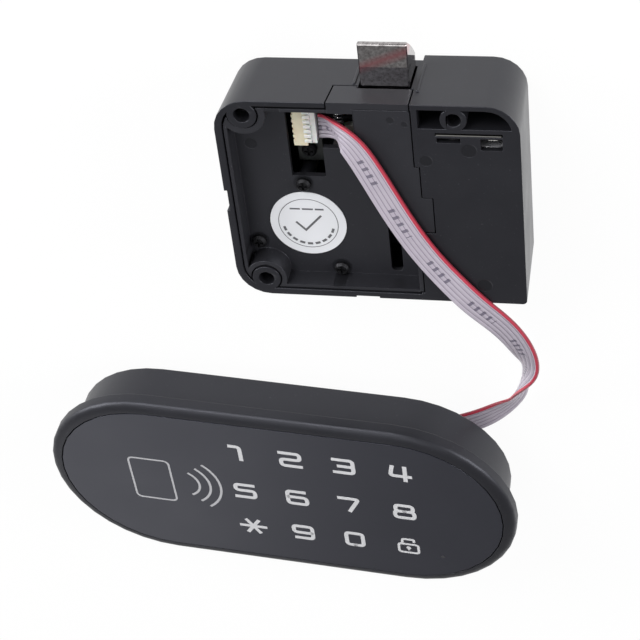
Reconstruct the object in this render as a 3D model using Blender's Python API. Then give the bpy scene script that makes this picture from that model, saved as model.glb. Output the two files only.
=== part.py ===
import math

import bmesh
import bpy
from mathutils import Euler, Matrix, Vector

# Electronic cabinet lock: lock body and touch keypad, joined by a flat ribbon of six wires.
# Both lie on a table with their mounting side and face up. Metres, +Z up.

# Shared clearances
GAP = 0.0003
CUT = 0.001
RUNNING_GAP = 0.0003

# Places of the two units on the table
LOCK_X = -0.00422
LOCK_Y = 0.01955
KEYPAD_FACE_X = 0.0014
KEYPAD_FACE_Y = -0.0793
KEYPAD_TURN_X = 6.63
KEYPAD_TURN_Y = -3.865
KEYPAD_TURN_Z = -1.26

# Lock housing, x across the bolt, y along the bolt, z out of the mounting side
HOUSING_WIDTH = 0.078
HOUSING_LENGTH = 0.063
HOUSING_DEPTH = 0.0254
CORNER_BOLT_LEFT = 0.009
CORNER_BOLT_RIGHT = 0.0085
CORNER_FAR_LEFT = 0.009
CORNER_FAR_RIGHT = 0.0012
BOLT_WALL_DRAFT = 0.0018
SIDE_WALL_DRAFT = 0.0008
FAR_WALL_DRAFT = 0.0002
REAR_FILLET = 0.0008
SIDE_WALL = 0.002
BOLT_WALL = 0.0015
REAR_WALL = 0.0018
STEP_X = 0.051
STEP_HEIGHT = 0.12205 * HOUSING_DEPTH
DIVIDER_LEFT = 0.0501
LEFT_NOTCH_Y = 0.49603 * HOUSING_LENGTH
LEFT_NOTCH_LENGTH = 0.0065
LEFT_NOTCH_DEPTH = 0.0008
FAR_NOTCH_X = 0.03535
FAR_NOTCH_WIDTH = 0.0063
FAR_NOTCH_DEPTH = 0.0005
NOTCH_HEIGHT = 0.009

# Mounting bosses of the housing
BOSS_LEFT_X = 0.0077
BOSS_SETBACK = 0.0044
BOSS_BOLT_Y = HOUSING_LENGTH - BOSS_SETBACK
BOSS_FAR_X = 0.008
BOSS_FAR_Y = 0.0053
BOSS_RADIUS = 0.0039
BOSS_HOLE = 0.0021
BOSS_BASE_RADIUS = 0.0046
BOSS_BASE_HEIGHT = 0.43307 * HOUSING_DEPTH
BLOCK_BOSS_X = 0.0615
BLOCK_BOSS_SETBACK = 0.0043
BLOCK_BOSS_Y = HOUSING_LENGTH - BLOCK_BOSS_SETBACK
BLOCK_BOSS_RADIUS = 0.0034
BLOCK_BOSS_HOLE = 0.0019
BLOCK_BOSS_BASE = 0.0038

# Battery block of the housing
BLOCK_CEILING = 0.0016
CELL_RADIUS = 0.00525
CELL_TIP_RADIUS = 0.0019
CELL_TIP_HEIGHT = 0.0009
CELL_PLAY = 0.00045
CHAMBER_X = 0.0643
CHAMBER_NEAR_Y = 0.0028
CHAMBER_SETBACK = 0.0097
CHAMBER_END_Y = HOUSING_LENGTH - CHAMBER_SETBACK
CELL_END_ROOM = 0.006
CELL_LENGTH = CHAMBER_END_Y - CHAMBER_NEAR_Y - CELL_END_ROOM
DOOR_THICKNESS = 0.0016
DOOR_RECESS = 0.0002
DOOR_EDGE = 0.0006
DOOR_NEAR_Y = 0.0018
DOOR_SETBACK = 0.0082
DOOR_END_Y = HOUSING_LENGTH - DOOR_SETBACK
DOOR_GRIP_LENGTH = 0.010
DOOR_GRIP_DEPTH = 0.0006
DOOR_GRIP_WIDTH = 0.0009
DOOR_GRIP_STEP = 0.0018
DOOR_GRIP_COUNT = 5
DOOR_GRIP_Y = 0.009
POCKET_SETBACK = 0.007
POCKET_NEAR_Y = HOUSING_LENGTH - POCKET_SETBACK
POCKET_LEFT = 0.0525
STRIP_SLOT_WIDTH = 0.0169
STRIP_SLOT_X = 0.06515
STRIP_SETBACK = 0.00875
STRIP_Y = HOUSING_LENGTH - STRIP_SETBACK
STRIP_THICKNESS = 0.0003
STRIP_RAISE = 0.0002
STRIP_BOTTOM = 0.19685 * HOUSING_DEPTH
WINDOW_ONE_X = 0.060
WINDOW_ONE_SETBACK = 0.0105
WINDOW_ONE_Y = HOUSING_LENGTH - WINDOW_ONE_SETBACK
WINDOW_ONE_WIDTH = 0.006
WINDOW_ONE_LENGTH = 0.0014
WINDOW_TWO_X = 0.07075
WINDOW_TWO_SETBACK = 0.0115
WINDOW_TWO_Y = HOUSING_LENGTH - WINDOW_TWO_SETBACK
WINDOW_TWO_WIDTH = 0.0055
WINDOW_TWO_LENGTH = 0.0034
CONTACT_THICKNESS = 0.0004
CONTACT_WIDTH = 0.0085
CONTACT_DOME_RADIUS = 0.0022
CONTACT_DOME_HEIGHT = 0.0012

# Tray that covers the mechanism, held by three screws
TRAY_FACE = 0.75591 * HOUSING_DEPTH
TRAY_THICKNESS = 0.0016
TRAY_WALL = 0.001
TRAY_WALL_TOP = 0.98425 * HOUSING_DEPTH
TRAY_SIDE_INSET = 0.0023
COLUMN_TOP = 0.99213 * HOUSING_DEPTH
COLUMN_SKIN = 0.0016
COLUMN_WALL = 0.0012
COLUMN_LEFT = 0.0362
COLUMN_BEND_Y = 0.79365 * HOUSING_LENGTH
COLUMN_FOOT_X = 0.0496
COLUMN_FOOT_Y = 0.30952 * HOUSING_LENGTH
COLUMN_RIGHT = 0.0507
TAB_STEP_RIGHT = 0.0520
TAB_STEP_END_Y = 0.69365 * HOUSING_LENGTH
TAB_RIGHT = 0.0548
TAB_END_Y = 0.53968 * HOUSING_LENGTH
TAB_NEAR_Y = 0.36508 * HOUSING_LENGTH
COLLAR_RADIUS = 0.0056
COLLAR_BOLT_RADIUS = 0.0060
TONGUE_LEFT = 0.0293
TONGUE_FOOT_LEFT = 0.0300
TONGUE_BOTTOM = 0.64567 * HOUSING_DEPTH
TONGUE_RIGHT = 0.0508
WINDOW_A_X = 0.0217
WINDOW_SETBACK = 0.004
WINDOW_A_NEAR_Y = 0.56349 * HOUSING_LENGTH
WINDOW_A_WIDTH = 0.009
WINDOW_A_LENGTH = HOUSING_LENGTH - WINDOW_SETBACK - WINDOW_A_NEAR_Y
WINDOW_A_Y = WINDOW_A_NEAR_Y + WINDOW_A_LENGTH / 2
WINDOW_B_X = 0.02875
WINDOW_B_Y = 0.73810 * HOUSING_LENGTH
WINDOW_B_WIDTH = 0.0055
WINDOW_B_LENGTH = 0.0036
WINDOW_C_X = 0.0306
WINDOW_C_NEAR_Y = 0.76349 * HOUSING_LENGTH
WINDOW_C_WIDTH = 0.0098
WINDOW_C_LENGTH = HOUSING_LENGTH - WINDOW_SETBACK - WINDOW_C_NEAR_Y
WINDOW_C_Y = WINDOW_C_NEAR_Y + WINDOW_C_LENGTH / 2
SLOT_X = 0.04285
SLOT_Y = 0.22857 * HOUSING_LENGTH
SLOT_WIDTH = 0.0031
SLOT_LENGTH = 0.30794 * HOUSING_LENGTH

# Cross-head screws and the posts under them
SCREW_HEAD_RADIUS = 0.002
SCREW_HEAD_HEIGHT = 0.0012
SCREW_RADIUS = 0.0009
SCREW_LENGTH = 0.0085
SCREW_CROSS_LENGTH = 0.0024
SCREW_CROSS_WIDTH = 0.0006
SCREW_CROSS_DEPTH = 0.0007
SCREW_CROWN_SHARE = 0.72
BOARD_SCREW_SHARE = 0.7
POST_RADIUS = 0.0022
TRAY_SCREW_ONE_X = 0.020
TRAY_SCREW_ONE_Y = 0.52381 * HOUSING_LENGTH
TRAY_SCREW_TWO_X = 0.0058
TRAY_SCREW_TWO_RISE = 0.0082
TRAY_SCREW_TWO_Y = BOSS_FAR_Y + TRAY_SCREW_TWO_RISE
TRAY_SCREW_THREE_X = 0.0277
TRAY_SCREW_THREE_Y = 0.08413 * HOUSING_LENGTH

# Latch bolt, its opening and its carriage
BOLT_X = 0.0435
BOLT_WIDTH = 0.0126
BOLT_BOTTOM = 0.25591 * HOUSING_DEPTH
BOLT_TOP = 0.67323 * HOUSING_DEPTH
BOLT_TAIL_Y = 0.79365 * HOUSING_LENGTH
BOLT_REACH = 0.0122
BOLT_TIP = 0.0012
BOLT_SLOPE_REACH = 0.0033
BOLT_BULGE = 0.0005
BOLT_EDGE = 0.0004
OPENING_LEFT = 0.0366
OPENING_RIGHT = 0.0501
OPENING_BOTTOM = 0.24409 * HOUSING_DEPTH
FRAME_RIB_WIDTH = 0.0008
FRAME_RIB_HEIGHT = 0.0004
FRAME_RIB_RIGHT = 0.0519
FRAME_RIB_RIGHT_BOTTOM = 0.21260 * HOUSING_DEPTH
FRAME_RIB_RIGHT_TOP = 0.74409 * HOUSING_DEPTH
FRAME_RIB_LEFT = 0.0353
FRAME_RIB_LEFT_BOTTOM = 0.27559 * HOUSING_DEPTH
FRAME_RIB_LEFT_TOP = 0.62205 * HOUSING_DEPTH
CARRIAGE_NEAR_Y = 0.42857 * HOUSING_LENGTH
CARRIAGE_TONGUE_WIDTH = 0.005
CARRIAGE_TONGUE_HEIGHT = 0.17717 * HOUSING_DEPTH
CARRIAGE_TONGUE_LENGTH = 0.07937 * HOUSING_LENGTH
CARRIAGE_POCKET_WIDTH = 0.0094
CARRIAGE_POCKET_LENGTH = 0.17460 * HOUSING_LENGTH
CARRIAGE_POCKET_DEPTH = 0.23622 * HOUSING_DEPTH
CARRIAGE_POCKET_SHARE = 0.75
GUIDE_WIDTH = 0.0009
GUIDE_HEIGHT = 0.14961 * HOUSING_DEPTH
GUIDE_LENGTH = 0.22222 * HOUSING_LENGTH

# Bolt drive: motor, gearbox, lead screw, nut and return spring
DRIVE_X = 0.0308
DRIVE_Z = 0.43701 * HOUSING_DEPTH
MOTOR_NEAR_Y = 0.13175 * HOUSING_LENGTH
MOTOR_WIDTH = 0.008
MOTOR_HEIGHT = 0.39370 * HOUSING_DEPTH
MOTOR_LENGTH = 0.19048 * HOUSING_LENGTH
CRADLE_SHARES = (0.2, 0.8)
GEARBOX_LENGTH = 0.12698 * HOUSING_LENGTH
LEAD_RADIUS = 0.0013
JOURNAL_SHARE = 0.7
LEAD_THREAD = 0.00035
LEAD_PITCH = 0.0025
LEAD_LENGTH = 0.33651 * HOUSING_LENGTH
NUT_WIDTH = 0.006
FORK_Y = 0.68889 * HOUSING_LENGTH
FORK_THICKNESS = 0.0018
FORK_LEFT = 0.0284
FORK_BOTTOM = 0.30709 * HOUSING_DEPTH
FORK_TOP = 0.66929 * HOUSING_DEPTH
FORK_SLOT_TOP = 0.50787 * HOUSING_DEPTH
REST_THICKNESS = 0.0014
REST_WIDTH = 0.0048
SPRING_X = 0.0303
SPRING_Z = 0.61811 * HOUSING_DEPTH
SPRING_RADIUS = 0.0012
SPRING_WIRE = 0.0004
SPRING_TURNS = 12
SPRING_POINTS_PER_TURN = 9
ANCHOR_WIDTH = 0.003
ANCHOR_SETBACK = 0.0048
ANCHOR_NEAR_Y = HOUSING_LENGTH - ANCHOR_SETBACK
SWITCH_WIDTH = 0.0064
SWITCH_LENGTH = 0.0058
SWITCH_HEIGHT = 0.11024 * HOUSING_DEPTH
SWITCH_X = 0.0420
SWITCH_NEAR_Y = 0.0052
LEVER_THICKNESS = 0.0003
LEVER_HEIGHT = 0.07874 * HOUSING_DEPTH
LEVER_LENGTH = 0.0060
LEVER_ANGLE = 22.0
LEVER_EYE = 0.0005

# Lock circuit board, its header and the cable plug
BOARD_LEFT = 0.0184
BOARD_RIGHT = 0.0250
BOARD_NEAR_Y = 0.59048 * HOUSING_LENGTH
BOARD_SETBACK = 0.0029
BOARD_END_Y = HOUSING_LENGTH - BOARD_SETBACK
BOARD_TOP = 0.56693 * HOUSING_DEPTH
BOARD_THICKNESS = 0.0012
BOARD_SCREW_X = 0.0215
BOARD_SCREW_Y = 0.64921 * HOUSING_LENGTH
BOARD_STAND_Y = 0.91270 * HOUSING_LENGTH
HEADER_LEFT = 0.0187
HEADER_RIGHT = 0.0217
HEADER_NEAR_Y = 0.71429 * HOUSING_LENGTH
HEADER_END_Y = 0.90476 * HOUSING_LENGTH
HEADER_TOP = 0.74409 * HOUSING_DEPTH
HEADER_WALL = 0.0007
HEADER_PIN_COUNT = 6
PLUG_RIGHT = 0.0249
PLUG_NEAR_Y = 0.73492 * HOUSING_LENGTH
PLUG_END_Y = 0.88413 * HOUSING_LENGTH
PLUG_TOOTH = 0.0005

# Paper seal
SEAL_X = 0.0199
SEAL_Y = 0.31746 * HOUSING_LENGTH
SEAL_RADIUS = 0.16349 * HOUSING_LENGTH
SEAL_THICKNESS = 0.0002

# Keypad, x along its length, z out of the touch face
PANEL_RADIUS = 0.03092
PANEL_HALF_LENGTH = 0.03661
PANEL_THICKNESS = 0.0015
FLANGE_WIDTH = 0.00374
FLANGE_ROUND = 0.00207
FLANGE_BACK = 0.0049
KEYPAD_DEPTH = 0.019
BOX_INSET = 0.00446
BOX_WALL = 0.0018
BOX_FLOOR = 0.0018
BOX_EDGE = 0.0008
BEZEL_LIP = 0.0006
BEZEL_FLOOR = 0.0014
KEYPAD_BOARD_THICKNESS = 0.0012
KEYPAD_BOARD_DEPTH = 0.41053 * KEYPAD_DEPTH
KEYPAD_BOARD_INSET = 0.0032
LIGHT_GUIDE_THICKNESS = 0.09474 * KEYPAD_DEPTH
LIGHT_GUIDE_WIDTH = 0.054
LIGHT_GUIDE_LENGTH = 0.048
LIGHT_GUIDE_X = 0.0142
ANTENNA_X = -0.0325
ANTENNA_WIDTH = 0.020
ANTENNA_LENGTH = 0.024
ANTENNA_BAND = 0.0028
ANTENNA_THICKNESS = 0.0006
ANTENNA_CORNER = 0.004
STATUS_LED_X = 0.0488
STATUS_LED_Y = -0.0194
STATUS_LED_SIDE = 0.0016
STATUS_LED_HEIGHT = 0.04737 * KEYPAD_DEPTH
BUZZER_X = -0.004
BUZZER_Y = 0.004
BUZZER_RADIUS = 0.006
BUZZER_HEIGHT = 0.28947 * KEYPAD_DEPTH
BUZZER_HOLE = 0.001
BOX_SCREW_X = 0.047
BOX_SCREW_Y = 0.013
BOX_BOSS_RADIUS = 0.0031
BOX_BOSS_HOLE = 0.0011
BOX_HEAD_RADIUS = 0.0021
BOX_HEAD_HOLE = 0.0025
BOX_SCREW_LENGTH = 0.50000 * KEYPAD_DEPTH
INSERT_X = 0.028
INSERT_Y = -0.009
INSERT_RADIUS = 0.0029
INSERT_BORE = 0.0017
INSERT_LENGTH = 0.36842 * KEYPAD_DEPTH
INSERT_GROOVE_SHARES = (0.4, 0.6)
INSERT_BOSS_RADIUS = 0.0045
INSERT_SINK = 0.0002
EXIT_X = 0.025
EXIT_Y = 0.005
EXIT_WIDTH = 0.012
EXIT_LENGTH = 0.010
SOCKET_WIDTH = 0.0115
SOCKET_LENGTH = 0.0048
SOCKET_HEIGHT = 0.22105 * KEYPAD_DEPTH
SOCKET_WALL = 0.0007
SOCKET_PLUG_WIDTH = 0.0094
SOCKET_PLUG_LENGTH = 0.0028
SOCKET_PLUG_HEIGHT = 0.22105 * KEYPAD_DEPTH

# Flat ribbon of six wires between the two units
RIBBON_WIDTH = 0.0076
RIBBON_THICKNESS = 0.0009
RIBBON_STEPS_PER_POINT = 3
STEEPEST_LEVEL = 0.35


def disc_points(x, y, radius, count):
    turn = 2 * math.pi / count
    return [(x + radius * math.cos(i * turn), y + radius * math.sin(i * turn)) for i in range(count)]


def rounded_outline(left, right, near, end, radii, steps=6):
    """Counter-clockwise outline; radii run near-left, near-right, end-right, end-left."""
    corners = (
        (left + radii[0], near + radii[0], radii[0], 180),
        (right - radii[1], near + radii[1], radii[1], 270),
        (right - radii[2], end - radii[2], radii[2], 0),
        (left + radii[3], end - radii[3], radii[3], 90),
    )
    points = []
    for x, y, radius, start in corners:
        for i in range(steps + 1):
            angle = math.radians(start + 90 * i / steps)
            points.append((x + radius * math.cos(angle), y + radius * math.sin(angle)))
    return points


def pill_outline(half_length, radius, steps=18):
    points = []
    for side, start in ((1, -90), (-1, 90)):
        for i in range(steps + 1):
            angle = math.radians(start + 180 * i / steps)
            points.append((side * half_length + radius * math.cos(angle), radius * math.sin(angle)))
    return points


def new_object(name, bm):
    bmesh.ops.recalc_face_normals(bm, faces=bm.faces)
    mesh = bpy.data.meshes.new(name)
    bm.to_mesh(mesh)
    bm.free()
    solid = bpy.data.objects.new(name, mesh)
    bpy.context.scene.collection.objects.link(solid)
    return solid


def loft(name, rings):
    """Closed solid through rings of equally many 3-D points."""
    bm = bmesh.new()
    rows = [[bm.verts.new(point) for point in ring] for ring in rings]
    for lower, upper in zip(rows, rows[1:]):
        for i, corner in enumerate(lower):
            j = (i + 1) % len(lower)
            bm.faces.new((corner, lower[j], upper[j], upper[i]))
    bm.faces.new(rows[0][::-1])
    bm.faces.new(rows[-1])
    return new_object(name, bm)


def prism(name, outline, bottom, top):
    return loft(name, [[(x, y, z) for x, y in outline] for z in (bottom, top)])


def slab(name, x, y, width, length, bottom, top):
    half_width = width / 2
    half_length = length / 2
    outline = [
        (x - half_width, y - half_length),
        (x + half_width, y - half_length),
        (x + half_width, y + half_length),
        (x - half_width, y + half_length),
    ]
    return prism(name, outline, bottom, top)


def block(name, left, right, near, end, bottom, top):
    return prism(name, [(left, near), (right, near), (right, end), (left, end)], bottom, top)


def post(name, x, y, radius, bottom, top, count=24):
    return prism(name, disc_points(x, y, radius, count), bottom, top)


def along_y(name, outline, near, end):
    """Prism along y of an outline in x and z."""
    return loft(name, [[(x, y, z) for x, z in outline] for y in (near, end)])


def along_x(name, outline, left, right):
    """Prism along x of an outline in y and z."""
    return loft(name, [[(x, y, z) for y, z in outline] for x in (left, right)])


def combine(target, operation, tools):
    for tool in tools:
        step = target.modifiers.new(operation, "BOOLEAN")
        step.operation = operation
        step.solver = "EXACT"
        step.object = tool
        bpy.context.view_layer.update()
        shaped = target.evaluated_get(bpy.context.evaluated_depsgraph_get())
        mesh = bpy.data.meshes.new_from_object(shaped)
        target.modifiers.clear()
        target.data = mesh
        bpy.data.objects.remove(tool)
    return target


def carve(target, *tools):
    return combine(target, "DIFFERENCE", tools)


def fuse(target, *tools):
    return combine(target, "UNION", tools)


def keep(target, *tools):
    return combine(target, "INTERSECT", tools)


def finish(name, colour, roughness, metallic):
    material = bpy.data.materials.new(name)
    material.use_nodes = True
    shader = material.node_tree.nodes["Principled BSDF"]
    shader.inputs["Base Color"].default_value = (*colour, 1)
    shader.inputs["Roughness"].default_value = roughness
    shader.inputs["Metallic"].default_value = metallic
    material.diffuse_color = (*colour, 1)
    return material


def hang(solid, frame, material, pivot=None, smooth_angle=32):
    """Give a solid its material, its shading, its frame and, for a moving piece, its pivot."""
    if pivot is not None:
        solid.data.transform(Matrix.Translation(-Vector(pivot)))
        solid.location = pivot
    solid.data.materials.clear()
    solid.data.materials.append(material)
    solid.data.shade_smooth()
    solid.data.set_sharp_from_angle(angle=math.radians(smooth_angle))
    solid.parent = frame
    return solid


def cross_screw(name, x, y, seat, head_radius, head_height, shank, length, top_side=1):
    """Pan-head cross screw whose head stands on the seat; top_side is 1 for up and -1 for down."""
    crown = seat + top_side * head_height
    rings = []
    for radius, z in (
        (shank * 0.5, seat - top_side * length),
        (shank, seat - top_side * (length - shank)),
        (shank, seat),
        (head_radius, seat),
        (head_radius, seat + top_side * head_height * 0.5),
        (head_radius * SCREW_CROWN_SHARE, crown),
    ):
        rings.append([(px, py, z) for px, py in disc_points(x, y, radius, 14)])
    screw = loft(name, rings)
    bars = ((SCREW_CROSS_LENGTH, SCREW_CROSS_WIDTH), (SCREW_CROSS_WIDTH, SCREW_CROSS_LENGTH))
    for width, length_across in bars:
        low = min(crown - top_side * SCREW_CROSS_DEPTH, crown + top_side * CUT)
        high = max(crown - top_side * SCREW_CROSS_DEPTH, crown + top_side * CUT)
        carve(screw, slab("cross", x, y, width, length_across, low, high))
    return screw


def wall_height_share(z):
    return (HOUSING_DEPTH - z) / HOUSING_DEPTH


def bolt_wall_y(z):
    """Outer face of the bolt-side wall, which leans inward toward the rear."""
    return HOUSING_LENGTH - BOLT_WALL_DRAFT * wall_height_share(z)


def housing_ring(z, inset_side=0.0, inset_far=0.0, inset_bolt=0.0):
    share = wall_height_share(z)
    side = SIDE_WALL_DRAFT * share + inset_side
    near = FAR_WALL_DRAFT * share + inset_far
    end = BOLT_WALL_DRAFT * share + inset_bolt
    inset = max(inset_side, inset_far)
    radii = [
        max(radius - inset, REAR_FILLET / 4)
        for radius in (CORNER_FAR_LEFT, CORNER_FAR_RIGHT, CORNER_BOLT_RIGHT, CORNER_BOLT_LEFT)
    ]
    outline = rounded_outline(side, HOUSING_WIDTH - side, near, HOUSING_LENGTH - end, radii)
    return [(x, y, z) for x, y in outline]


def housing_blank(name):
    """Outer form of the housing, with drafted walls and a rounded rear edge."""
    rings = []
    for i in range(4):
        angle = math.radians(90 * i / 3)
        inset = REAR_FILLET * (1 - math.sin(angle))
        rings.append(housing_ring(REAR_FILLET * (1 - math.cos(angle)), inset, inset, inset))
    rings.append(housing_ring(HOUSING_DEPTH))
    return loft(name, rings)


def wall_rib(name, x, bottom, top):
    """Raised line on the outer face of the bolt-side wall."""
    outline = [
        (bolt_wall_y(bottom) - CUT, bottom),
        (bolt_wall_y(bottom) + FRAME_RIB_HEIGHT, bottom),
        (bolt_wall_y(top) + FRAME_RIB_HEIGHT, top),
        (bolt_wall_y(top) - CUT, top),
    ]
    return along_x(name, outline, x - FRAME_RIB_WIDTH / 2, x + FRAME_RIB_WIDTH / 2)


def mounting_boss(x, y, radius, base_radius, floor):
    shaft = post("boss", x, y, radius, floor - CUT / 2, HOUSING_DEPTH)
    base = post("boss_base", x, y, base_radius, floor - CUT / 2, BOSS_BASE_HEIGHT)
    limit = loft("boss_limit", [housing_ring(z, GAP, GAP, GAP) for z in (-CUT, HOUSING_DEPTH + CUT)])
    return keep(fuse(shaft, base), limit)


def boss_bore(x, y, hole):
    return post("bore", x, y, hole, -CUT, HOUSING_DEPTH + CUT)


def tongue_outline(margin):
    """Outline in x and z of the tray's tongue in the bolt-side wall, drawn in by a margin."""
    rise = OPENING_RIGHT + GAP
    return [
        (TONGUE_LEFT + margin, HOUSING_DEPTH + CUT),
        (TONGUE_FOOT_LEFT + margin, TONGUE_BOTTOM + margin),
        (OPENING_LEFT - GAP, TONGUE_BOTTOM + margin),
        (OPENING_LEFT - GAP, BOLT_TOP + GAP + margin),
        (rise, BOLT_TOP + GAP + margin),
        (TONGUE_RIGHT - margin, BOLT_TOP + GAP + margin),
        (TONGUE_RIGHT - margin, HOUSING_DEPTH + CUT),
    ]


def lock_housing(material, frame):
    housing = housing_blank("lock_housing")
    carve(housing, block("rear_step", -CUT, STEP_X, -CUT, HOUSING_LENGTH + CUT, -CUT, STEP_HEIGHT))

    floor = STEP_HEIGHT + REAR_WALL
    rings = [housing_ring(z, SIDE_WALL, SIDE_WALL, BOLT_WALL) for z in (floor, HOUSING_DEPTH)]
    rings.append([(x, y, HOUSING_DEPTH + CUT) for x, y, z in rings[-1]])
    cavity = loft("cavity", rings)
    keep(cavity, block("cavity_half", 0.0, DIVIDER_LEFT, 0.0, HOUSING_LENGTH, 0.0, HOUSING_DEPTH + 2 * CUT))
    carve(housing, cavity)

    chamber_half = 2 * CELL_RADIUS + GAP / 2 + CELL_PLAY
    chamber_left = CHAMBER_X - chamber_half
    chamber_right = CHAMBER_X + chamber_half
    ceiling = HOUSING_DEPTH - BLOCK_CEILING
    carve(housing, block("chamber", chamber_left, chamber_right, CHAMBER_NEAR_Y, CHAMBER_END_Y,
                         -CUT, ceiling))
    door_seat = DOOR_RECESS + DOOR_THICKNESS + GAP
    carve(housing, block("door_seat", chamber_left - DOOR_EDGE, chamber_right + DOOR_EDGE,
                         DOOR_NEAR_Y, DOOR_END_Y, -CUT, door_seat))

    pocket_rings = [housing_ring(z, SIDE_WALL, SIDE_WALL, BOLT_WALL) for z in (REAR_WALL, HOUSING_DEPTH)]
    pocket_rings.append([(x, y, HOUSING_DEPTH + CUT) for x, y, z in pocket_rings[-1]])
    pocket = loft("pocket", pocket_rings)
    keep(pocket, block("pocket_end", POCKET_LEFT, HOUSING_WIDTH, POCKET_NEAR_Y, HOUSING_LENGTH,
                       0.0, HOUSING_DEPTH + 2 * CUT))
    carve(housing, pocket)
    carve(housing, slab("strip_slot", STRIP_SLOT_X, STRIP_Y, STRIP_SLOT_WIDTH, STRIP_THICKNESS + 2 * GAP,
                        STRIP_BOTTOM, HOUSING_DEPTH + CUT))
    carve(housing, slab("window_one", WINDOW_ONE_X, WINDOW_ONE_Y, WINDOW_ONE_WIDTH, WINDOW_ONE_LENGTH,
                        ceiling - CUT, HOUSING_DEPTH + CUT))
    carve(housing, slab("window_two", WINDOW_TWO_X, WINDOW_TWO_Y, WINDOW_TWO_WIDTH, WINDOW_TWO_LENGTH,
                        ceiling - CUT, HOUSING_DEPTH + CUT))

    fuse(housing, mounting_boss(BOSS_LEFT_X, BOSS_BOLT_Y, BOSS_RADIUS, BOSS_BASE_RADIUS, floor))
    fuse(housing, mounting_boss(BOSS_FAR_X, BOSS_FAR_Y, BOSS_RADIUS, BOSS_BASE_RADIUS, floor))
    fuse(housing, mounting_boss(BLOCK_BOSS_X, BLOCK_BOSS_Y, BLOCK_BOSS_RADIUS, BLOCK_BOSS_BASE, REAR_WALL))

    tray_bottom = TRAY_FACE - TRAY_THICKNESS
    for x, y in tray_screws():
        fuse(housing, post("post", x, y, POST_RADIUS, floor - CUT / 2, tray_bottom - GAP))
    board_bottom = BOARD_TOP - BOARD_THICKNESS
    board_middle = (BOARD_LEFT + BOARD_RIGHT) / 2
    fuse(housing, post("board_post", BOARD_SCREW_X, BOARD_SCREW_Y, POST_RADIUS, floor - CUT / 2,
                       board_bottom - GAP))
    fuse(housing, post("board_stand", board_middle, BOARD_STAND_Y, POST_RADIUS, floor - CUT / 2,
                       board_bottom - GAP))
    for share in CRADLE_SHARES:
        y = MOTOR_NEAR_Y + MOTOR_LENGTH * share
        fuse(housing, slab("cradle", DRIVE_X, y, MOTOR_WIDTH, TRAY_WALL, floor - CUT / 2,
                           DRIVE_Z - MOTOR_HEIGHT / 2 - GAP))
    gearbox_y = MOTOR_NEAR_Y + MOTOR_LENGTH + GAP + GEARBOX_LENGTH / 2
    fuse(housing, slab("gear_cradle", DRIVE_X, gearbox_y, MOTOR_WIDTH, TRAY_WALL, floor - CUT / 2,
                       DRIVE_Z - MOTOR_HEIGHT / 2 - GAP))
    rest_y = lead_start() + LEAD_LENGTH - REST_THICKNESS / 2
    fuse(housing, slab("lead_rest", DRIVE_X, rest_y, REST_WIDTH, REST_THICKNESS, floor - CUT / 2,
                       DRIVE_Z + LEAD_RADIUS + LEAD_THREAD))
    anchor_end = bolt_wall_y(DRIVE_Z) - BOLT_WALL + CUT / 2
    fuse(housing, block("anchor", SPRING_X - ANCHOR_WIDTH / 2, SPRING_X + ANCHOR_WIDTH / 2, ANCHOR_NEAR_Y,
                        anchor_end, floor - CUT / 2, tray_bottom - GAP))
    guide_end = bolt_wall_y(floor) - BOLT_WALL + CUT / 2
    fuse(housing, block("guide", OPENING_LEFT - GUIDE_WIDTH, OPENING_LEFT, guide_end - GUIDE_LENGTH,
                        guide_end, floor - CUT / 2, floor + GUIDE_HEIGHT))

    fuse(housing, wall_rib("rib_right", FRAME_RIB_RIGHT, FRAME_RIB_RIGHT_BOTTOM, FRAME_RIB_RIGHT_TOP))
    fuse(housing, wall_rib("rib_left", FRAME_RIB_LEFT, FRAME_RIB_LEFT_BOTTOM, FRAME_RIB_LEFT_TOP))
    wall_inside = HOUSING_LENGTH - BOLT_WALL_DRAFT - BOLT_WALL - CUT
    carve(housing, block("bolt_opening", OPENING_LEFT, OPENING_RIGHT, wall_inside, HOUSING_LENGTH + CUT,
                         OPENING_BOTTOM, BOLT_TOP + 2 * GAP))
    carve(housing, along_y("tongue_notch", tongue_outline(0.0), wall_inside, HOUSING_LENGTH + CUT))

    tab_floor = COLUMN_TOP - COLUMN_SKIN - GAP
    carve(housing, block("tab_recess", DIVIDER_LEFT - CUT, TAB_RIGHT + GAP, TAB_NEAR_Y - GAP, TAB_END_Y + GAP,
                         tab_floor, HOUSING_DEPTH + CUT))
    carve(housing, block("tab_step", DIVIDER_LEFT - CUT, TAB_STEP_RIGHT + GAP, TAB_END_Y,
                         TAB_STEP_END_Y + GAP, tab_floor, HOUSING_DEPTH + CUT))
    lip_start = TRAY_SIDE_INSET + TRAY_WALL / 2 - GAP
    carve(housing, block("divider_lip", DIVIDER_LEFT - CUT, COLUMN_RIGHT + GAP, lip_start,
                         HOUSING_LENGTH - BOLT_WALL - GAP, tab_floor, HOUSING_DEPTH + CUT))

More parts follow.
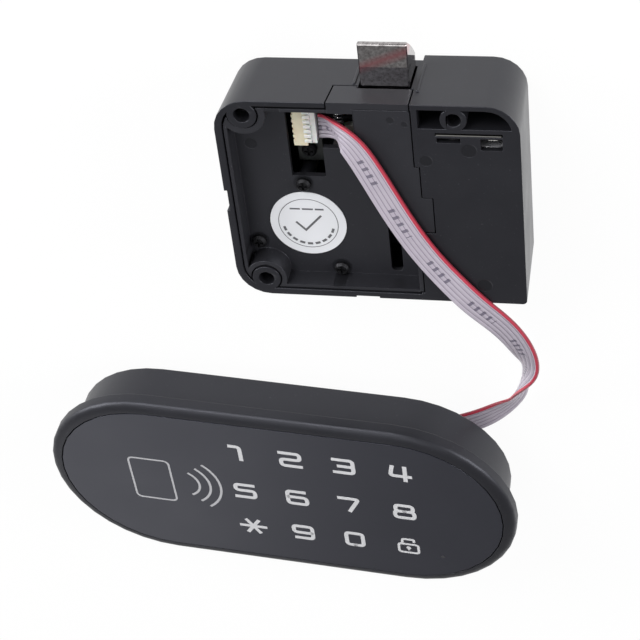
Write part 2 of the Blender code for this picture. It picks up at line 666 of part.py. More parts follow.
    carve(housing, boss_bore(BOSS_LEFT_X, BOSS_BOLT_Y, BOSS_HOLE))
    carve(housing, boss_bore(BOSS_FAR_X, BOSS_FAR_Y, BOSS_HOLE))
    carve(housing, boss_bore(BLOCK_BOSS_X, BLOCK_BOSS_Y, BLOCK_BOSS_HOLE))
    for x, y in tray_screws():
        carve(housing, post("pilot", x, y, SCREW_RADIUS + GAP, TRAY_FACE - SCREW_LENGTH - CUT,
                            tray_bottom + CUT, 16))
    carve(housing, post("board_pilot", BOARD_SCREW_X, BOARD_SCREW_Y, SCREW_RADIUS + GAP,
                        floor + CUT, board_bottom + CUT, 16))
    bore_radius = LEAD_RADIUS * JOURNAL_SHARE + GAP
    lead_bore = [(DRIVE_X + x, DRIVE_Z + z) for x, z in disc_points(0.0, 0.0, bore_radius, 16)]
    carve(housing, along_y("lead_bore", lead_bore, rest_y - REST_THICKNESS, rest_y + REST_THICKNESS))
    carve(housing, slab("left_notch", 0.0, LEFT_NOTCH_Y, 2 * LEFT_NOTCH_DEPTH, LEFT_NOTCH_LENGTH,
                        HOUSING_DEPTH - NOTCH_HEIGHT, HOUSING_DEPTH + CUT))
    carve(housing, slab("far_notch", FAR_NOTCH_X, 0.0, FAR_NOTCH_WIDTH, 2 * FAR_NOTCH_DEPTH,
                        HOUSING_DEPTH - NOTCH_HEIGHT, HOUSING_DEPTH + CUT))
    return hang(housing, frame, material)


def tray_screws():
    return (
        (TRAY_SCREW_ONE_X, TRAY_SCREW_ONE_Y),
        (TRAY_SCREW_TWO_X, TRAY_SCREW_TWO_Y),
        (TRAY_SCREW_THREE_X, TRAY_SCREW_THREE_Y),
    )


def lead_start():
    return MOTOR_NEAR_Y + MOTOR_LENGTH + GAP + GEARBOX_LENGTH + GAP


def column_outline():
    return [
        (COLUMN_LEFT, HOUSING_LENGTH - BOLT_WALL - GAP),
        (COLUMN_LEFT, COLUMN_BEND_Y),
        (COLUMN_FOOT_X, COLUMN_FOOT_Y),
        (COLUMN_FOOT_X, TRAY_SIDE_INSET + TRAY_WALL / 2),
        (COLUMN_RIGHT, TRAY_SIDE_INSET + TRAY_WALL / 2),
        (COLUMN_RIGHT, HOUSING_LENGTH - BOLT_WALL - GAP),
    ]


def inner_cover(material, frame):
    """Tray: floor plate, edge wall, collars round two bosses, column over the bolt, tongue and tab."""
    bottom = TRAY_FACE - TRAY_THICKNESS
    end_inset = BOLT_WALL + GAP + BOLT_WALL_DRAFT * wall_height_share(bottom)
    ring = housing_ring(HOUSING_DEPTH, TRAY_SIDE_INSET, TRAY_SIDE_INSET, end_inset)
    outline = [(x, y) for x, y, z in ring]
    tray = prism("inner_cover", outline, bottom, TRAY_WALL_TOP)
    keep(tray, block("left_part", 0.0, DIVIDER_LEFT - GAP, 0.0, HOUSING_LENGTH, 0.0, HOUSING_DEPTH))
    inner = housing_ring(HOUSING_DEPTH, TRAY_SIDE_INSET + TRAY_WALL, TRAY_SIDE_INSET + TRAY_WALL,
                         end_inset + TRAY_WALL)
    inside = prism("inside", [(x, y) for x, y, z in inner], TRAY_FACE, HOUSING_DEPTH)
    keep(inside, block("inside_half", 0.0, TAB_RIGHT, 0.0, HOUSING_LENGTH, 0.0, HOUSING_DEPTH + CUT))
    carve(tray, inside)

    for x, y, radius in (
        (BOSS_LEFT_X, BOSS_BOLT_Y, COLLAR_BOLT_RADIUS),
        (BOSS_FAR_X, BOSS_FAR_Y, COLLAR_RADIUS),
    ):
        collar = post("collar", x, y, radius, bottom, TRAY_WALL_TOP, 32)
        keep(collar, prism("collar_limit", outline, bottom - CUT, TRAY_WALL_TOP + CUT))
        fuse(tray, collar)

    column = prism("column", column_outline(), bottom, COLUMN_TOP)
    keep(column, block("column_limit", 0.0, COLUMN_RIGHT, 0.0, HOUSING_LENGTH - end_inset,
                       0.0, HOUSING_DEPTH))
    keep_low = block("column_side", DIVIDER_LEFT - GAP, HOUSING_WIDTH, 0.0, HOUSING_LENGTH,
                     0.0, COLUMN_TOP - COLUMN_SKIN)
    carve(column, keep_low)
    fuse(tray, column)
    tab_bottom = COLUMN_TOP - COLUMN_SKIN
    fuse(tray, block("tab", COLUMN_RIGHT - CUT, TAB_RIGHT, TAB_NEAR_Y, TAB_END_Y, tab_bottom, COLUMN_TOP))
    fuse(tray, block("tab_step", COLUMN_RIGHT - CUT, TAB_STEP_RIGHT, TAB_END_Y - CUT, TAB_STEP_END_Y,
                     tab_bottom, COLUMN_TOP))

    hollow = [
        (COLUMN_LEFT + COLUMN_WALL, HOUSING_LENGTH),
        (COLUMN_LEFT + COLUMN_WALL, COLUMN_BEND_Y),
        (COLUMN_FOOT_X - COLUMN_WALL, COLUMN_FOOT_Y + (COLUMN_BEND_Y - COLUMN_FOOT_Y) / 4),
        (DIVIDER_LEFT - GAP - COLUMN_WALL, COLUMN_FOOT_Y + (COLUMN_BEND_Y - COLUMN_FOOT_Y) / 4),
        (DIVIDER_LEFT - GAP - COLUMN_WALL, HOUSING_LENGTH),
    ]
    carve(tray, prism("column_hollow", hollow, bottom - CUT, COLUMN_TOP - COLUMN_SKIN))

    tongue = along_y("tongue", tongue_outline(GAP), HOUSING_LENGTH - end_inset - TRAY_WALL, HOUSING_LENGTH)
    keep(tongue, housing_blank("tongue_limit"))
    keep(tongue, block("tongue_top", 0.0, HOUSING_WIDTH, 0.0, HOUSING_LENGTH, 0.0, COLUMN_TOP))
    fuse(tray, tongue)

    carve(tray, slab("window_a", WINDOW_A_X, WINDOW_A_Y, WINDOW_A_WIDTH, WINDOW_A_LENGTH,
                     bottom - CUT, TRAY_FACE + CUT))
    carve(tray, slab("window_b", WINDOW_B_X, WINDOW_B_Y, WINDOW_B_WIDTH, WINDOW_B_LENGTH,
                     bottom - CUT, TRAY_FACE + CUT))
    carve(tray, slab("window_c", WINDOW_C_X, WINDOW_C_Y, WINDOW_C_WIDTH, WINDOW_C_LENGTH,
                     bottom - CUT, TRAY_FACE + CUT))
    slot = rounded_outline(SLOT_X - SLOT_WIDTH / 2, SLOT_X + SLOT_WIDTH / 2, SLOT_Y - SLOT_LENGTH / 2,
                           SLOT_Y + SLOT_LENGTH / 2, [SLOT_WIDTH / 2 - GAP] * 4, 4)
    carve(tray, prism("slot", slot, bottom - CUT, TRAY_FACE + CUT))
    for x, y in ((BOSS_LEFT_X, BOSS_BOLT_Y), (BOSS_FAR_X, BOSS_FAR_Y)):
        carve(tray, post("boss_hole", x, y, BOSS_RADIUS + GAP, bottom - CUT, HOUSING_DEPTH + CUT, 32))
    for x, y in tray_screws():
        carve(tray, post("screw_hole", x, y, SCREW_RADIUS + GAP, bottom - CUT, TRAY_FACE + CUT, 16))
    return hang(tray, frame, material)


def bolt(material, frame):
    """Latch bolt: slanted toward the rear, with a pocket for the carriage's tongue."""
    tip_y = HOUSING_LENGTH + BOLT_REACH
    slope_foot = HOUSING_LENGTH + BOLT_SLOPE_REACH
    start = Vector((tip_y, BOLT_TOP - BOLT_TIP))
    end = Vector((slope_foot, BOLT_BOTTOM))
    outward = Vector((start.y - end.y, end.x - start.x)).normalized()
    slope = []
    for i in range(7):
        share = i / 6
        bulge = BOLT_BULGE * 4 * share * (1 - share)
        point = start.lerp(end, share) + outward * bulge
        slope.append((point.x, point.y))
    outline = [(BOLT_TAIL_Y, BOLT_TOP), (tip_y - BOLT_TIP / 3, BOLT_TOP), (tip_y, BOLT_TOP - BOLT_TIP / 3)]
    outline += slope + [(BOLT_TAIL_Y, BOLT_BOTTOM)]
    left = BOLT_X - BOLT_WIDTH / 2
    right = BOLT_X + BOLT_WIDTH / 2
    latch = along_x("bolt", outline, left, right)
    bm = bmesh.new()
    bm.from_mesh(latch.data)
    sides = [edge for edge in bm.edges if abs(edge.verts[0].co.x - edge.verts[1].co.x) < GAP]
    bmesh.ops.bevel(bm, geom=sides, offset=BOLT_EDGE, segments=2, profile=0.5, affect="EDGES")
    bm.to_mesh(latch.data)
    bm.free()
    middle = (BOLT_BOTTOM + BOLT_TOP) / 2
    carve(latch, slab("tongue_pocket", BOLT_X, BOLT_TAIL_Y, CARRIAGE_TONGUE_WIDTH + 2 * GAP,
                      2 * (CARRIAGE_TONGUE_LENGTH + GAP), middle - CARRIAGE_TONGUE_HEIGHT / 2 - GAP,
                      middle + CARRIAGE_TONGUE_HEIGHT / 2 + GAP))
    return hang(latch, frame, material, (BOLT_X, BOLT_TAIL_Y, middle))


def bolt_carriage(material, frame):
    """Slide behind the bolt, with the tongue into it and the arm that the nut and the spring act on."""
    floor = STEP_HEIGHT + REAR_WALL
    left = OPENING_LEFT + RUNNING_GAP
    right = DIVIDER_LEFT - RUNNING_GAP
    end = BOLT_TAIL_Y - GAP
    carriage = block("bolt_carriage", left, right, CARRIAGE_NEAR_Y, end, floor + RUNNING_GAP, BOLT_TOP)
    middle = (BOLT_BOTTOM + BOLT_TOP) / 2
    fuse(carriage, slab("tongue", BOLT_X, end, CARRIAGE_TONGUE_WIDTH, 2 * CARRIAGE_TONGUE_LENGTH,
                        middle - CARRIAGE_TONGUE_HEIGHT / 2, middle + CARRIAGE_TONGUE_HEIGHT / 2))
    arm = block("arm", FORK_LEFT, left + CUT, FORK_Y - FORK_THICKNESS / 2, FORK_Y + FORK_THICKNESS / 2,
                FORK_BOTTOM, FORK_TOP)
    half_slot = LEAD_RADIUS + LEAD_THREAD + GAP
    carve(arm, slab("fork_slot", DRIVE_X, FORK_Y, 2 * half_slot, 2 * FORK_THICKNESS, FORK_BOTTOM - CUT,
                    FORK_SLOT_TOP))
    fuse(carriage, arm)
    pocket_y = CARRIAGE_NEAR_Y + CARRIAGE_POCKET_LENGTH * CARRIAGE_POCKET_SHARE
    carve(carriage, slab("pocket", BOLT_X, pocket_y, CARRIAGE_POCKET_WIDTH, CARRIAGE_POCKET_LENGTH,
                         BOLT_TOP - CARRIAGE_POCKET_DEPTH, BOLT_TOP + CUT))
    return hang(carriage, frame, material, (BOLT_X, BOLT_TAIL_Y, middle))


def drive_motor(material, frame):
    half_width = MOTOR_WIDTH / 2
    half_height = MOTOR_HEIGHT / 2
    flat = math.acos(half_width / half_height)
    outline = []
    for start in (flat, math.pi + flat):
        for i in range(13):
            angle = start + (math.pi - 2 * flat) * i / 12
            outline.append((DRIVE_X + half_height * math.cos(angle), DRIVE_Z + half_height * math.sin(angle)))
    motor = along_y("drive_motor", outline, MOTOR_NEAR_Y, MOTOR_NEAR_Y + MOTOR_LENGTH)
    boss = [(DRIVE_X + x, DRIVE_Z + z) for x, z in disc_points(0.0, 0.0, half_width / 3, 16)]
    fuse(motor, along_y("rear_boss", boss, MOTOR_NEAR_Y - CUT / 2, MOTOR_NEAR_Y + CUT))
    return hang(motor, frame, material)


def motor_gearbox(material, frame):
    start = MOTOR_NEAR_Y + MOTOR_LENGTH + GAP
    corner = MOTOR_WIDTH / 8
    outline = rounded_outline(DRIVE_X - MOTOR_WIDTH / 2, DRIVE_X + MOTOR_WIDTH / 2,
                              DRIVE_Z - MOTOR_HEIGHT / 2, DRIVE_Z + MOTOR_HEIGHT / 2, [corner] * 4, 3)
    plate = GEARBOX_LENGTH / 6
    box = along_y("motor_gearbox", outline, start, start + GEARBOX_LENGTH)
    waist = MOTOR_WIDTH / 10
    for side in (-1, 1):
        carve(box, slab("waist", DRIVE_X + side * MOTOR_WIDTH / 2, start + GEARBOX_LENGTH / 2, 2 * waist,
                        GEARBOX_LENGTH - 2 * plate, 0.0, HOUSING_DEPTH))
    return hang(box, frame, material)


def drive_screw(material, frame):
    """Lead screw: one unbroken thread of coarse pitch on a core, with a plain journal at its free end."""
    start = lead_start()
    count = 10
    turns_length = LEAD_LENGTH - 2 * REST_THICKNESS - 2 * LEAD_PITCH / 2
    steps = int(turns_length / LEAD_PITCH * 6)
    rings = []
    journal = LEAD_RADIUS * JOURNAL_SHARE
    for y in (start, start + LEAD_PITCH / 2 - GAP):
        rings.append([(DRIVE_X + px, y, DRIVE_Z + pz) for px, pz in disc_points(0.0, 0.0, journal, count)])
    for step in range(steps + 1):
        along = step / steps
        y = start + LEAD_PITCH / 2 + turns_length * along
        twist = 2 * math.pi * turns_length * along / LEAD_PITCH
        ring = []
        for i in range(count):
            angle = 2 * math.pi * i / count
            crest = 0.5 + 0.5 * math.cos(angle - twist)
            fade = min(1.0, 8 * along, 8 * (1 - along))
            radius = LEAD_RADIUS + LEAD_THREAD * crest * fade
            ring.append((DRIVE_X + radius * math.cos(angle), y, DRIVE_Z + radius * math.sin(angle)))
        rings.append(ring)
    for y in (start + LEAD_PITCH / 2 + turns_length + GAP, start + LEAD_LENGTH):
        rings.append([(DRIVE_X + px, y, DRIVE_Z + pz) for px, pz in disc_points(0.0, 0.0, journal, count)])
    screw = loft("drive_screw", rings)
    return hang(screw, frame, material, (DRIVE_X, start, DRIVE_Z))


def drive_nut(material, frame):
    near = FORK_Y + FORK_THICKNESS / 2 + GAP
    end = lead_start() + LEAD_LENGTH - REST_THICKNESS - GAP
    half = NUT_WIDTH / 2
    outline = rounded_outline(DRIVE_X - half, DRIVE_X + half, DRIVE_Z - half, DRIVE_Z + half,
                              [NUT_WIDTH / 8] * 4, 3)
    nut = along_y("drive_nut", outline, near, end)
    bore = [(DRIVE_X + x, DRIVE_Z + z)
            for x, z in disc_points(0.0, 0.0, LEAD_RADIUS + LEAD_THREAD + GAP / 2, 20)]
    carve(nut, along_y("nut_bore", bore, near - CUT, end + CUT))
    return hang(nut, frame, material, (DRIVE_X, near, DRIVE_Z))


def wound_spring(name, x, z, near, end, material, frame):
    """Open coil along y as one unbroken tube, with a short straight run at each end."""
    straight = SPRING_WIRE
    coil_length = end - near - 2 * straight
    count = SPRING_TURNS * SPRING_POINTS_PER_TURN
    points = [(x + SPRING_RADIUS, near, z)]
    for i in range(count + 1):
        angle = 2 * math.pi * i / SPRING_POINTS_PER_TURN
        y = near + straight + coil_length * i / count
        points.append((x + SPRING_RADIUS * math.cos(angle), y, z + SPRING_RADIUS * math.sin(angle)))
    points.append((x + SPRING_RADIUS, end, z))
    curve = bpy.data.curves.new(name, "CURVE")
    curve.dimensions = "3D"
    curve.bevel_depth = SPRING_WIRE / 2
    curve.bevel_resolution = 1
    curve.use_fill_caps = True
    spline = curve.splines.new("POLY")
    spline.points.add(len(points) - 1)
    for target, point in zip(spline.points, points):
        target.co = (*point, 1)
    pitch = coil_length / SPRING_TURNS
    print(f"{name}: least gap between turns {(pitch - SPRING_WIRE) * 1000:.2f} mm")
    spring = bpy.data.objects.new(name, curve)
    bpy.context.scene.collection.objects.link(spring)
    curve.materials.append(material)
    spring.parent = frame
    return spring


def bolt_spring(material, frame):
    near = FORK_Y + FORK_THICKNESS / 2 + GAP
    return wound_spring("bolt_spring", SPRING_X, SPRING_Z, near, ANCHOR_NEAR_Y - GAP, material, frame)


def limit_switch(material, frame):
    floor = STEP_HEIGHT + REAR_WALL + GAP
    outline = rounded_outline(SWITCH_X - SWITCH_WIDTH / 2, SWITCH_X + SWITCH_WIDTH / 2, SWITCH_NEAR_Y,
                              SWITCH_NEAR_Y + SWITCH_LENGTH, [SWITCH_HEIGHT / 8] * 4, 2)
    switch = prism("limit_switch", outline, floor, floor + SWITCH_HEIGHT)
    return hang(switch, frame, material)


def switch_lever(material, frame):
    """Bent strip in front of the switch, hinged on an upright eye at its left end."""
    floor = STEP_HEIGHT + REAR_WALL + GAP
    low = floor + (SWITCH_HEIGHT - LEVER_HEIGHT) / 2
    x = SWITCH_X - SWITCH_WIDTH / 2 + LEVER_EYE
    y = SWITCH_NEAR_Y + SWITCH_LENGTH + GAP + LEVER_EYE
    lever = post("switch_lever", x, y, LEVER_EYE, low, low + LEVER_HEIGHT, 12)
    angle = math.radians(LEVER_ANGLE)
    along = Vector((math.cos(angle), math.sin(angle)))
    across = Vector((-along.y, along.x)) * LEVER_THICKNESS / 2
    start = Vector((x, y))
    tip = start + along * LEVER_LENGTH
    outline = [start - across, tip - across, tip + across, start + across]
    fuse(lever, prism("strip", [(point.x, point.y) for point in outline], low, low + LEVER_HEIGHT))
    fuse(lever, post("roller_end", tip.x, tip.y, LEVER_EYE, low, low + LEVER_HEIGHT, 12))
    return hang(lever, frame, material, (x, y, low))


def lock_pcb(material, frame):
    board = block("lock_pcb", BOARD_LEFT, BOARD_RIGHT, BOARD_NEAR_Y, BOARD_END_Y,
                  BOARD_TOP - BOARD_THICKNESS, BOARD_TOP)
    carve(board, post("screw_hole", BOARD_SCREW_X, BOARD_SCREW_Y, SCREW_RADIUS + GAP,
                      BOARD_TOP - BOARD_THICKNESS - CUT, BOARD_TOP + CUT, 16))
    return hang(board, frame, material)


def pcb_header(material, frame):
    """Open-ended box header that lies on the board, with its row of pins inside."""
    low = BOARD_TOP + GAP
    header = block("pcb_header", HEADER_LEFT, HEADER_RIGHT + HEADER_WALL, HEADER_NEAR_Y, HEADER_END_Y,
                   low, HEADER_TOP)
    mouth = HEADER_LEFT + HEADER_WALL
    carve(header, block("mouth", mouth, HEADER_RIGHT + 2 * HEADER_WALL, PLUG_NEAR_Y - GAP, PLUG_END_Y + GAP,
                        low + HEADER_WALL, HEADER_TOP - HEADER_WALL / 2))
    pitch = (PLUG_END_Y - PLUG_NEAR_Y) / HEADER_PIN_COUNT
    for i in range(HEADER_PIN_COUNT):
        y = PLUG_NEAR_Y + pitch * (i + 0.5)
        carve(header, slab("foot_notch", HEADER_LEFT, y, HEADER_WALL, pitch / 2, HEADER_TOP - HEADER_WALL,
                           HEADER_TOP + CUT))
    return hang(header, frame, material)


def cable_plug(material, frame):
    """Crimp housing with one small tooth for each wire."""
    left = HEADER_LEFT + HEADER_WALL + GAP
    low = BOARD_TOP + GAP + HEADER_WALL + GAP
    top = HEADER_TOP - HEADER_WALL / 2 - GAP
    plug = block("cable_plug", left, PLUG_RIGHT, PLUG_NEAR_Y, PLUG_END_Y, low, top)
    pitch = (PLUG_END_Y - PLUG_NEAR_Y) / HEADER_PIN_COUNT
    face = HEADER_RIGHT + HEADER_WALL + GAP
    fuse(plug, block("head", face, PLUG_RIGHT, PLUG_NEAR_Y - PLUG_TOOTH, PLUG_END_Y + PLUG_TOOTH,
                     low - GAP / 2, top + PLUG_TOOTH))
    for i in range(HEADER_PIN_COUNT):
        y = PLUG_NEAR_Y + pitch * (i + 0.5)
        carve(plug, slab("tooth_gap", face, y, 2 * PLUG_TOOTH, pitch / 2, top, top + PLUG_TOOTH + CUT))
    return hang(plug, frame, material)


def inspection_seal(material, frame):
    seal = post("inspection_seal", SEAL_X, SEAL_Y, SEAL_RADIUS, TRAY_FACE + GAP / 6,
                TRAY_FACE + GAP / 6 + SEAL_THICKNESS, 48)
    return hang(seal, frame, material)


def cell_places():
    """Centres in x and z of the four cells, the pair next to the ceiling first."""
    ceiling = HOUSING_DEPTH - BLOCK_CEILING
    top = ceiling - GAP - CELL_RADIUS
    pitch = 2 * CELL_RADIUS + GAP
    return [
        (CHAMBER_X + side * pitch / 2, top - layer * pitch)
        for layer in (0, 1)
        for side in (-1, 1)
    ]


def cell_start():
    return CHAMBER_NEAR_Y + GAP + CONTACT_THICKNESS + CONTACT_DOME_HEIGHT + GAP


def battery(number, x, z, direction, material, frame):
    """Cylindrical cell with its raised pole; direction is 1 where the pole points along +y."""
    near = cell_start()
    end = near + CELL_LENGTH
    body_near = near if direction > 0 else near + CELL_TIP_HEIGHT
    body_end = end - CELL_TIP_HEIGHT if direction > 0 else end
    edge = CELL_TIP_HEIGHT / 2
    rows = [
        (CELL_RADIUS - edge, body_near),
        (CELL_RADIUS, body_near + edge),
        (CELL_RADIUS, body_end - edge),
        (CELL_RADIUS - edge, body_end),
    ]
    if direction > 0:
        rows += [(CELL_TIP_RADIUS, body_end), (CELL_TIP_RADIUS, end)]
    else:
        rows = [(CELL_TIP_RADIUS, near), (CELL_TIP_RADIUS, body_near)] + rows
    rings = [[(x + px, y, z + pz) for px, pz in disc_points(0.0, 0.0, radius, 24)] for radius, y in rows]
    return hang(loft(f"battery_{number}", rings), frame, material)


def contact_plate(name, left, right, low, high, y, domes, side, material, frame):
    """Flat contact with a dome against each cell; side is 1 where the domes face +y."""
    plate = block(name, left, right, y, y + CONTACT_THICKNESS, low, high)
    for x, z in domes:
        foot = y + CONTACT_THICKNESS / 2
        crown = foot + side * (CONTACT_DOME_HEIGHT + CONTACT_THICKNESS / 2)
        rings = []
        for radius, place in ((CONTACT_DOME_RADIUS, foot), (CONTACT_DOME_RADIUS / 2, crown)):
            rings.append([(x + px, place, z + pz) for px, pz in disc_points(0.0, 0.0, radius, 12)])
        fuse(plate, loft("dome", rings))
    return hang(plate, frame, material)


def battery_contacts(material, frame):
    places = cell_places()
    near_y = CHAMBER_NEAR_Y + GAP
    end_y = cell_start() + CELL_LENGTH + GAP + CONTACT_DOME_HEIGHT
    half = CONTACT_WIDTH / 2
    for number, column in enumerate(((places[0], places[2]), (places[1], places[3])), start=1):
        x = column[0][0]
        low = column[1][1] - half
        high = column[0][1] + half
        contact_plate(f"cell_link_{number}", x - half, x + half, low, high, near_y, column, 1,
                      material, frame)
    left, right = places[0][0] - half, places[1][0] + half
    contact_plate("cell_link_3", left, right, places[2][1] - half, places[2][1] + half, end_y,
                  places[2:], -1, material, frame)
    for number, place in enumerate(places[:2], start=1):
        contact_plate(f"end_contact_{number}", place[0] - half, place[0] + half, place[1] - half,
                      place[1] + half, end_y, [place], -1, material, frame)


def contact_strip(material, frame):
    strip = slab("contact_strip", STRIP_SLOT_X, STRIP_Y, STRIP_SLOT_WIDTH - 2 * GAP, STRIP_THICKNESS,
                 STRIP_BOTTOM + GAP, HOUSING_DEPTH + STRIP_RAISE)
    return hang(strip, frame, material)


def battery_door(material, frame):
    """Lid on the rear of the battery block, with a row of grip grooves near its free end."""
    half = 2 * CELL_RADIUS + GAP / 2 + CELL_PLAY + DOOR_EDGE - GAP
    low = DOOR_RECESS
    door = block("battery_door", CHAMBER_X - half, CHAMBER_X + half, DOOR_NEAR_Y + GAP, DOOR_END_Y - GAP,
                 low, low + DOOR_THICKNESS)
    for i in range(DOOR_GRIP_COUNT):
        y = DOOR_GRIP_Y + i * DOOR_GRIP_STEP
        carve(door, slab("grip", CHAMBER_X, y, DOOR_GRIP_LENGTH, DOOR_GRIP_WIDTH, low - CUT,
                         low + DOOR_GRIP_DEPTH))
    return hang(door, frame, material, (CHAMBER_X, DOOR_NEAR_Y + GAP, low))


def box_radius():
    return PANEL_RADIUS + FLANGE_WIDTH - BOX_INSET


def pill_ring(radius, z):
    return [(x, y, z) for x, y in pill_outline(PANEL_HALF_LENGTH, radius)]


def pill_plate(name, radius, low, high):
    return loft(name, [pill_ring(radius, low), pill_ring(radius, high)])


def box_screw_places():
    return [(sx * BOX_SCREW_X, sy * BOX_SCREW_Y) for sx in (-1, 1) for sy in (-1, 1)]


def boss_split():
    """Depth where the bezel's screw bosses meet the rear box's bosses."""
    return -(KEYPAD_DEPTH + KEYPAD_BOARD_DEPTH) / 2


def keypad_bezel(material, frame):
    """Pill-shaped frame with a rounded rim, the panel's seat, a fitting lip and four screw bosses."""
    seat = -PANEL_THICKNESS - GAP
    inner = box_radius() - BOX_WALL - GAP
    lip_low = -FLANGE_BACK - BEZEL_FLOOR
    rim = PANEL_RADIUS + FLANGE_WIDTH
    rings = [
        pill_ring(inner, lip_low),
        pill_ring(inner, -FLANGE_BACK),
        pill_ring(rim - BEZEL_LIP / 2, -FLANGE_BACK),
        pill_ring(rim, -FLANGE_BACK + BEZEL_LIP / 2),
    ]
    last = math.asin(GAP / FLANGE_WIDTH)
    for i in range(7):
        angle = math.pi / 2 + (last - math.pi / 2) * i / 6
        fall = FLANGE_ROUND * (1 - math.cos(angle))
        rings.append(pill_ring(PANEL_RADIUS + FLANGE_WIDTH * math.sin(angle), -fall))
    rings.append(pill_ring(PANEL_RADIUS + GAP, seat))
    bezel = loft("keypad_bezel", rings)
    floor_low = seat - BEZEL_FLOOR
    carve(bezel, pill_plate("inside", inner - BEZEL_FLOOR, lip_low - CUT, floor_low))
    guide_hole = slab("guide_hole", LIGHT_GUIDE_X, 0.0, LIGHT_GUIDE_WIDTH + 2 * GAP,
                      LIGHT_GUIDE_LENGTH + 2 * GAP, floor_low - CUT, seat + CUT)
    carve(bezel, guide_hole)
    carve(bezel, post("led_hole", STATUS_LED_X, STATUS_LED_Y, STATUS_LED_SIDE, floor_low - CUT,
                      seat + CUT, 16))
    for x, y in box_screw_places():
        fuse(bezel, post("boss", x, y, BOX_BOSS_RADIUS, boss_split() + GAP / 2, floor_low + CUT / 2))
        fuse(bezel, post("shoulder", x, y, BOX_BOSS_RADIUS + BOX_BOSS_HOLE, -KEYPAD_BOARD_DEPTH + GAP,
                         floor_low + CUT / 2))
        carve(bezel, post("pilot", x, y, BOX_BOSS_HOLE + GAP, boss_split() - CUT,
                          -KEYPAD_DEPTH + BOX_FLOOR + BOX_SCREW_LENGTH + CUT, 16))
    return hang(bezel, frame, material)


def touch_panel(material, frame):
    panel = pill_plate("touch_panel", PANEL_RADIUS, -PANEL_THICKNESS, 0.0)
    return hang(panel, frame, material)


def keypad_rear_box(material, frame):
    """Deep rear shell with screw bosses, two insert bosses and the cable's opening."""
    radius = box_radius()
    rear = -KEYPAD_DEPTH
    top = -FLANGE_BACK - GAP
    rings = []
    for i in range(4):
        angle = math.radians(90 * i / 3)
        draw_in = BOX_EDGE * (1 - math.sin(angle))
        rings.append(pill_ring(radius - draw_in, rear + BOX_EDGE * (1 - math.cos(angle))))
    rings.append(pill_ring(radius, top))
    box = loft("keypad_rear_box", rings)
    floor = rear + BOX_FLOOR
    carve(box, pill_plate("box_inside", radius - BOX_WALL, floor, top + CUT))
    for x, y in box_screw_places():
        fuse(box, post("box_boss", x, y, BOX_BOSS_RADIUS + BOX_BOSS_HOLE, floor - CUT / 2,
                       boss_split() - GAP / 2))
    for side in (-1, 1):
        fuse(box, post("insert_boss", side * INSERT_X, INSERT_Y, INSERT_BOSS_RADIUS, floor - CUT / 2,
                       rear + INSERT_LENGTH + BOX_FLOOR))
    seat = head_seat()
    for x, y in box_screw_places():
        carve(box, post("shank_hole", x, y, BOX_BOSS_HOLE + GAP, rear - CUT, boss_split() + CUT, 16))
        carve(box, post("head_hole", x, y, BOX_HEAD_HOLE, rear - CUT, seat - GAP))
    for side in (-1, 1):
        carve(box, post("insert_hole", side * INSERT_X, INSERT_Y, INSERT_RADIUS + GAP, rear - CUT,
                        rear + INSERT_SINK + INSERT_LENGTH + GAP))
    carve(box, slab("exit", EXIT_X, EXIT_Y, EXIT_WIDTH, EXIT_LENGTH, rear - CUT, floor + CUT))
    return hang(box, frame, material)


def head_seat():
    """Depth of the shoulder that the rear screws' heads press against."""
    return -KEYPAD_DEPTH + BOX_FLOOR + SCREW_HEAD_HEIGHT


def keypad_screws(material, frame):
    for number, (x, y) in enumerate(box_screw_places(), start=1):
        screw = cross_screw(f"keypad_screw_{number}", x, y, head_seat() - 2 * GAP, BOX_HEAD_RADIUS,
                            SCREW_HEAD_HEIGHT, BOX_BOSS_HOLE, BOX_SCREW_LENGTH, -1)
        hang(screw, frame, material)


def mounting_inserts(material, frame):
    low = -KEYPAD_DEPTH + INSERT_SINK
    for number, side in enumerate((-1, 1), start=1):
        x = side * INSERT_X
        insert = post(f"mounting_insert_{number}", x, INSERT_Y, INSERT_RADIUS, low, low + INSERT_LENGTH)
        band = [low + INSERT_LENGTH * share for share in INSERT_GROOVE_SHARES]
        groove = post("groove_out", x, INSERT_Y, INSERT_RADIUS + CUT, band[0], band[1])
        carve(groove, post("groove_core", x, INSERT_Y, INSERT_RADIUS - GAP, low, low + INSERT_LENGTH))
        carve(insert, groove)
        carve(insert, post("bore", x, INSERT_Y, INSERT_BORE, low - CUT, low + INSERT_LENGTH + CUT))
        hang(insert, frame, material)


def keypad_pcb(material, frame):
    radius = PANEL_RADIUS - KEYPAD_BOARD_INSET
    top = -KEYPAD_BOARD_DEPTH
    board = pill_plate("keypad_pcb", radius, top - KEYPAD_BOARD_THICKNESS, top)
    for x, y in box_screw_places():
        carve(board, post("boss_hole", x, y, BOX_BOSS_RADIUS + GAP, top - 2 * CUT, top + CUT))
    return hang(board, frame, material)


def antenna_coil(material, frame):
    low = -KEYPAD_BOARD_DEPTH + GAP
    outer = rounded_outline(ANTENNA_X - ANTENNA_WIDTH / 2, ANTENNA_X + ANTENNA_WIDTH / 2, -ANTENNA_LENGTH / 2,
                            ANTENNA_LENGTH / 2, [ANTENNA_CORNER] * 4)
    coil = prism("antenna_coil", outer, low, low + ANTENNA_THICKNESS)
    half_width = ANTENNA_WIDTH / 2 - ANTENNA_BAND
    half_length = ANTENNA_LENGTH / 2 - ANTENNA_BAND
    inner = rounded_outline(ANTENNA_X - half_width, ANTENNA_X + half_width, -half_length, half_length,
                            [ANTENNA_CORNER - ANTENNA_BAND] * 4)
    carve(coil, prism("window", inner, low - CUT, low + ANTENNA_THICKNESS + CUT))
    return hang(coil, frame, material)


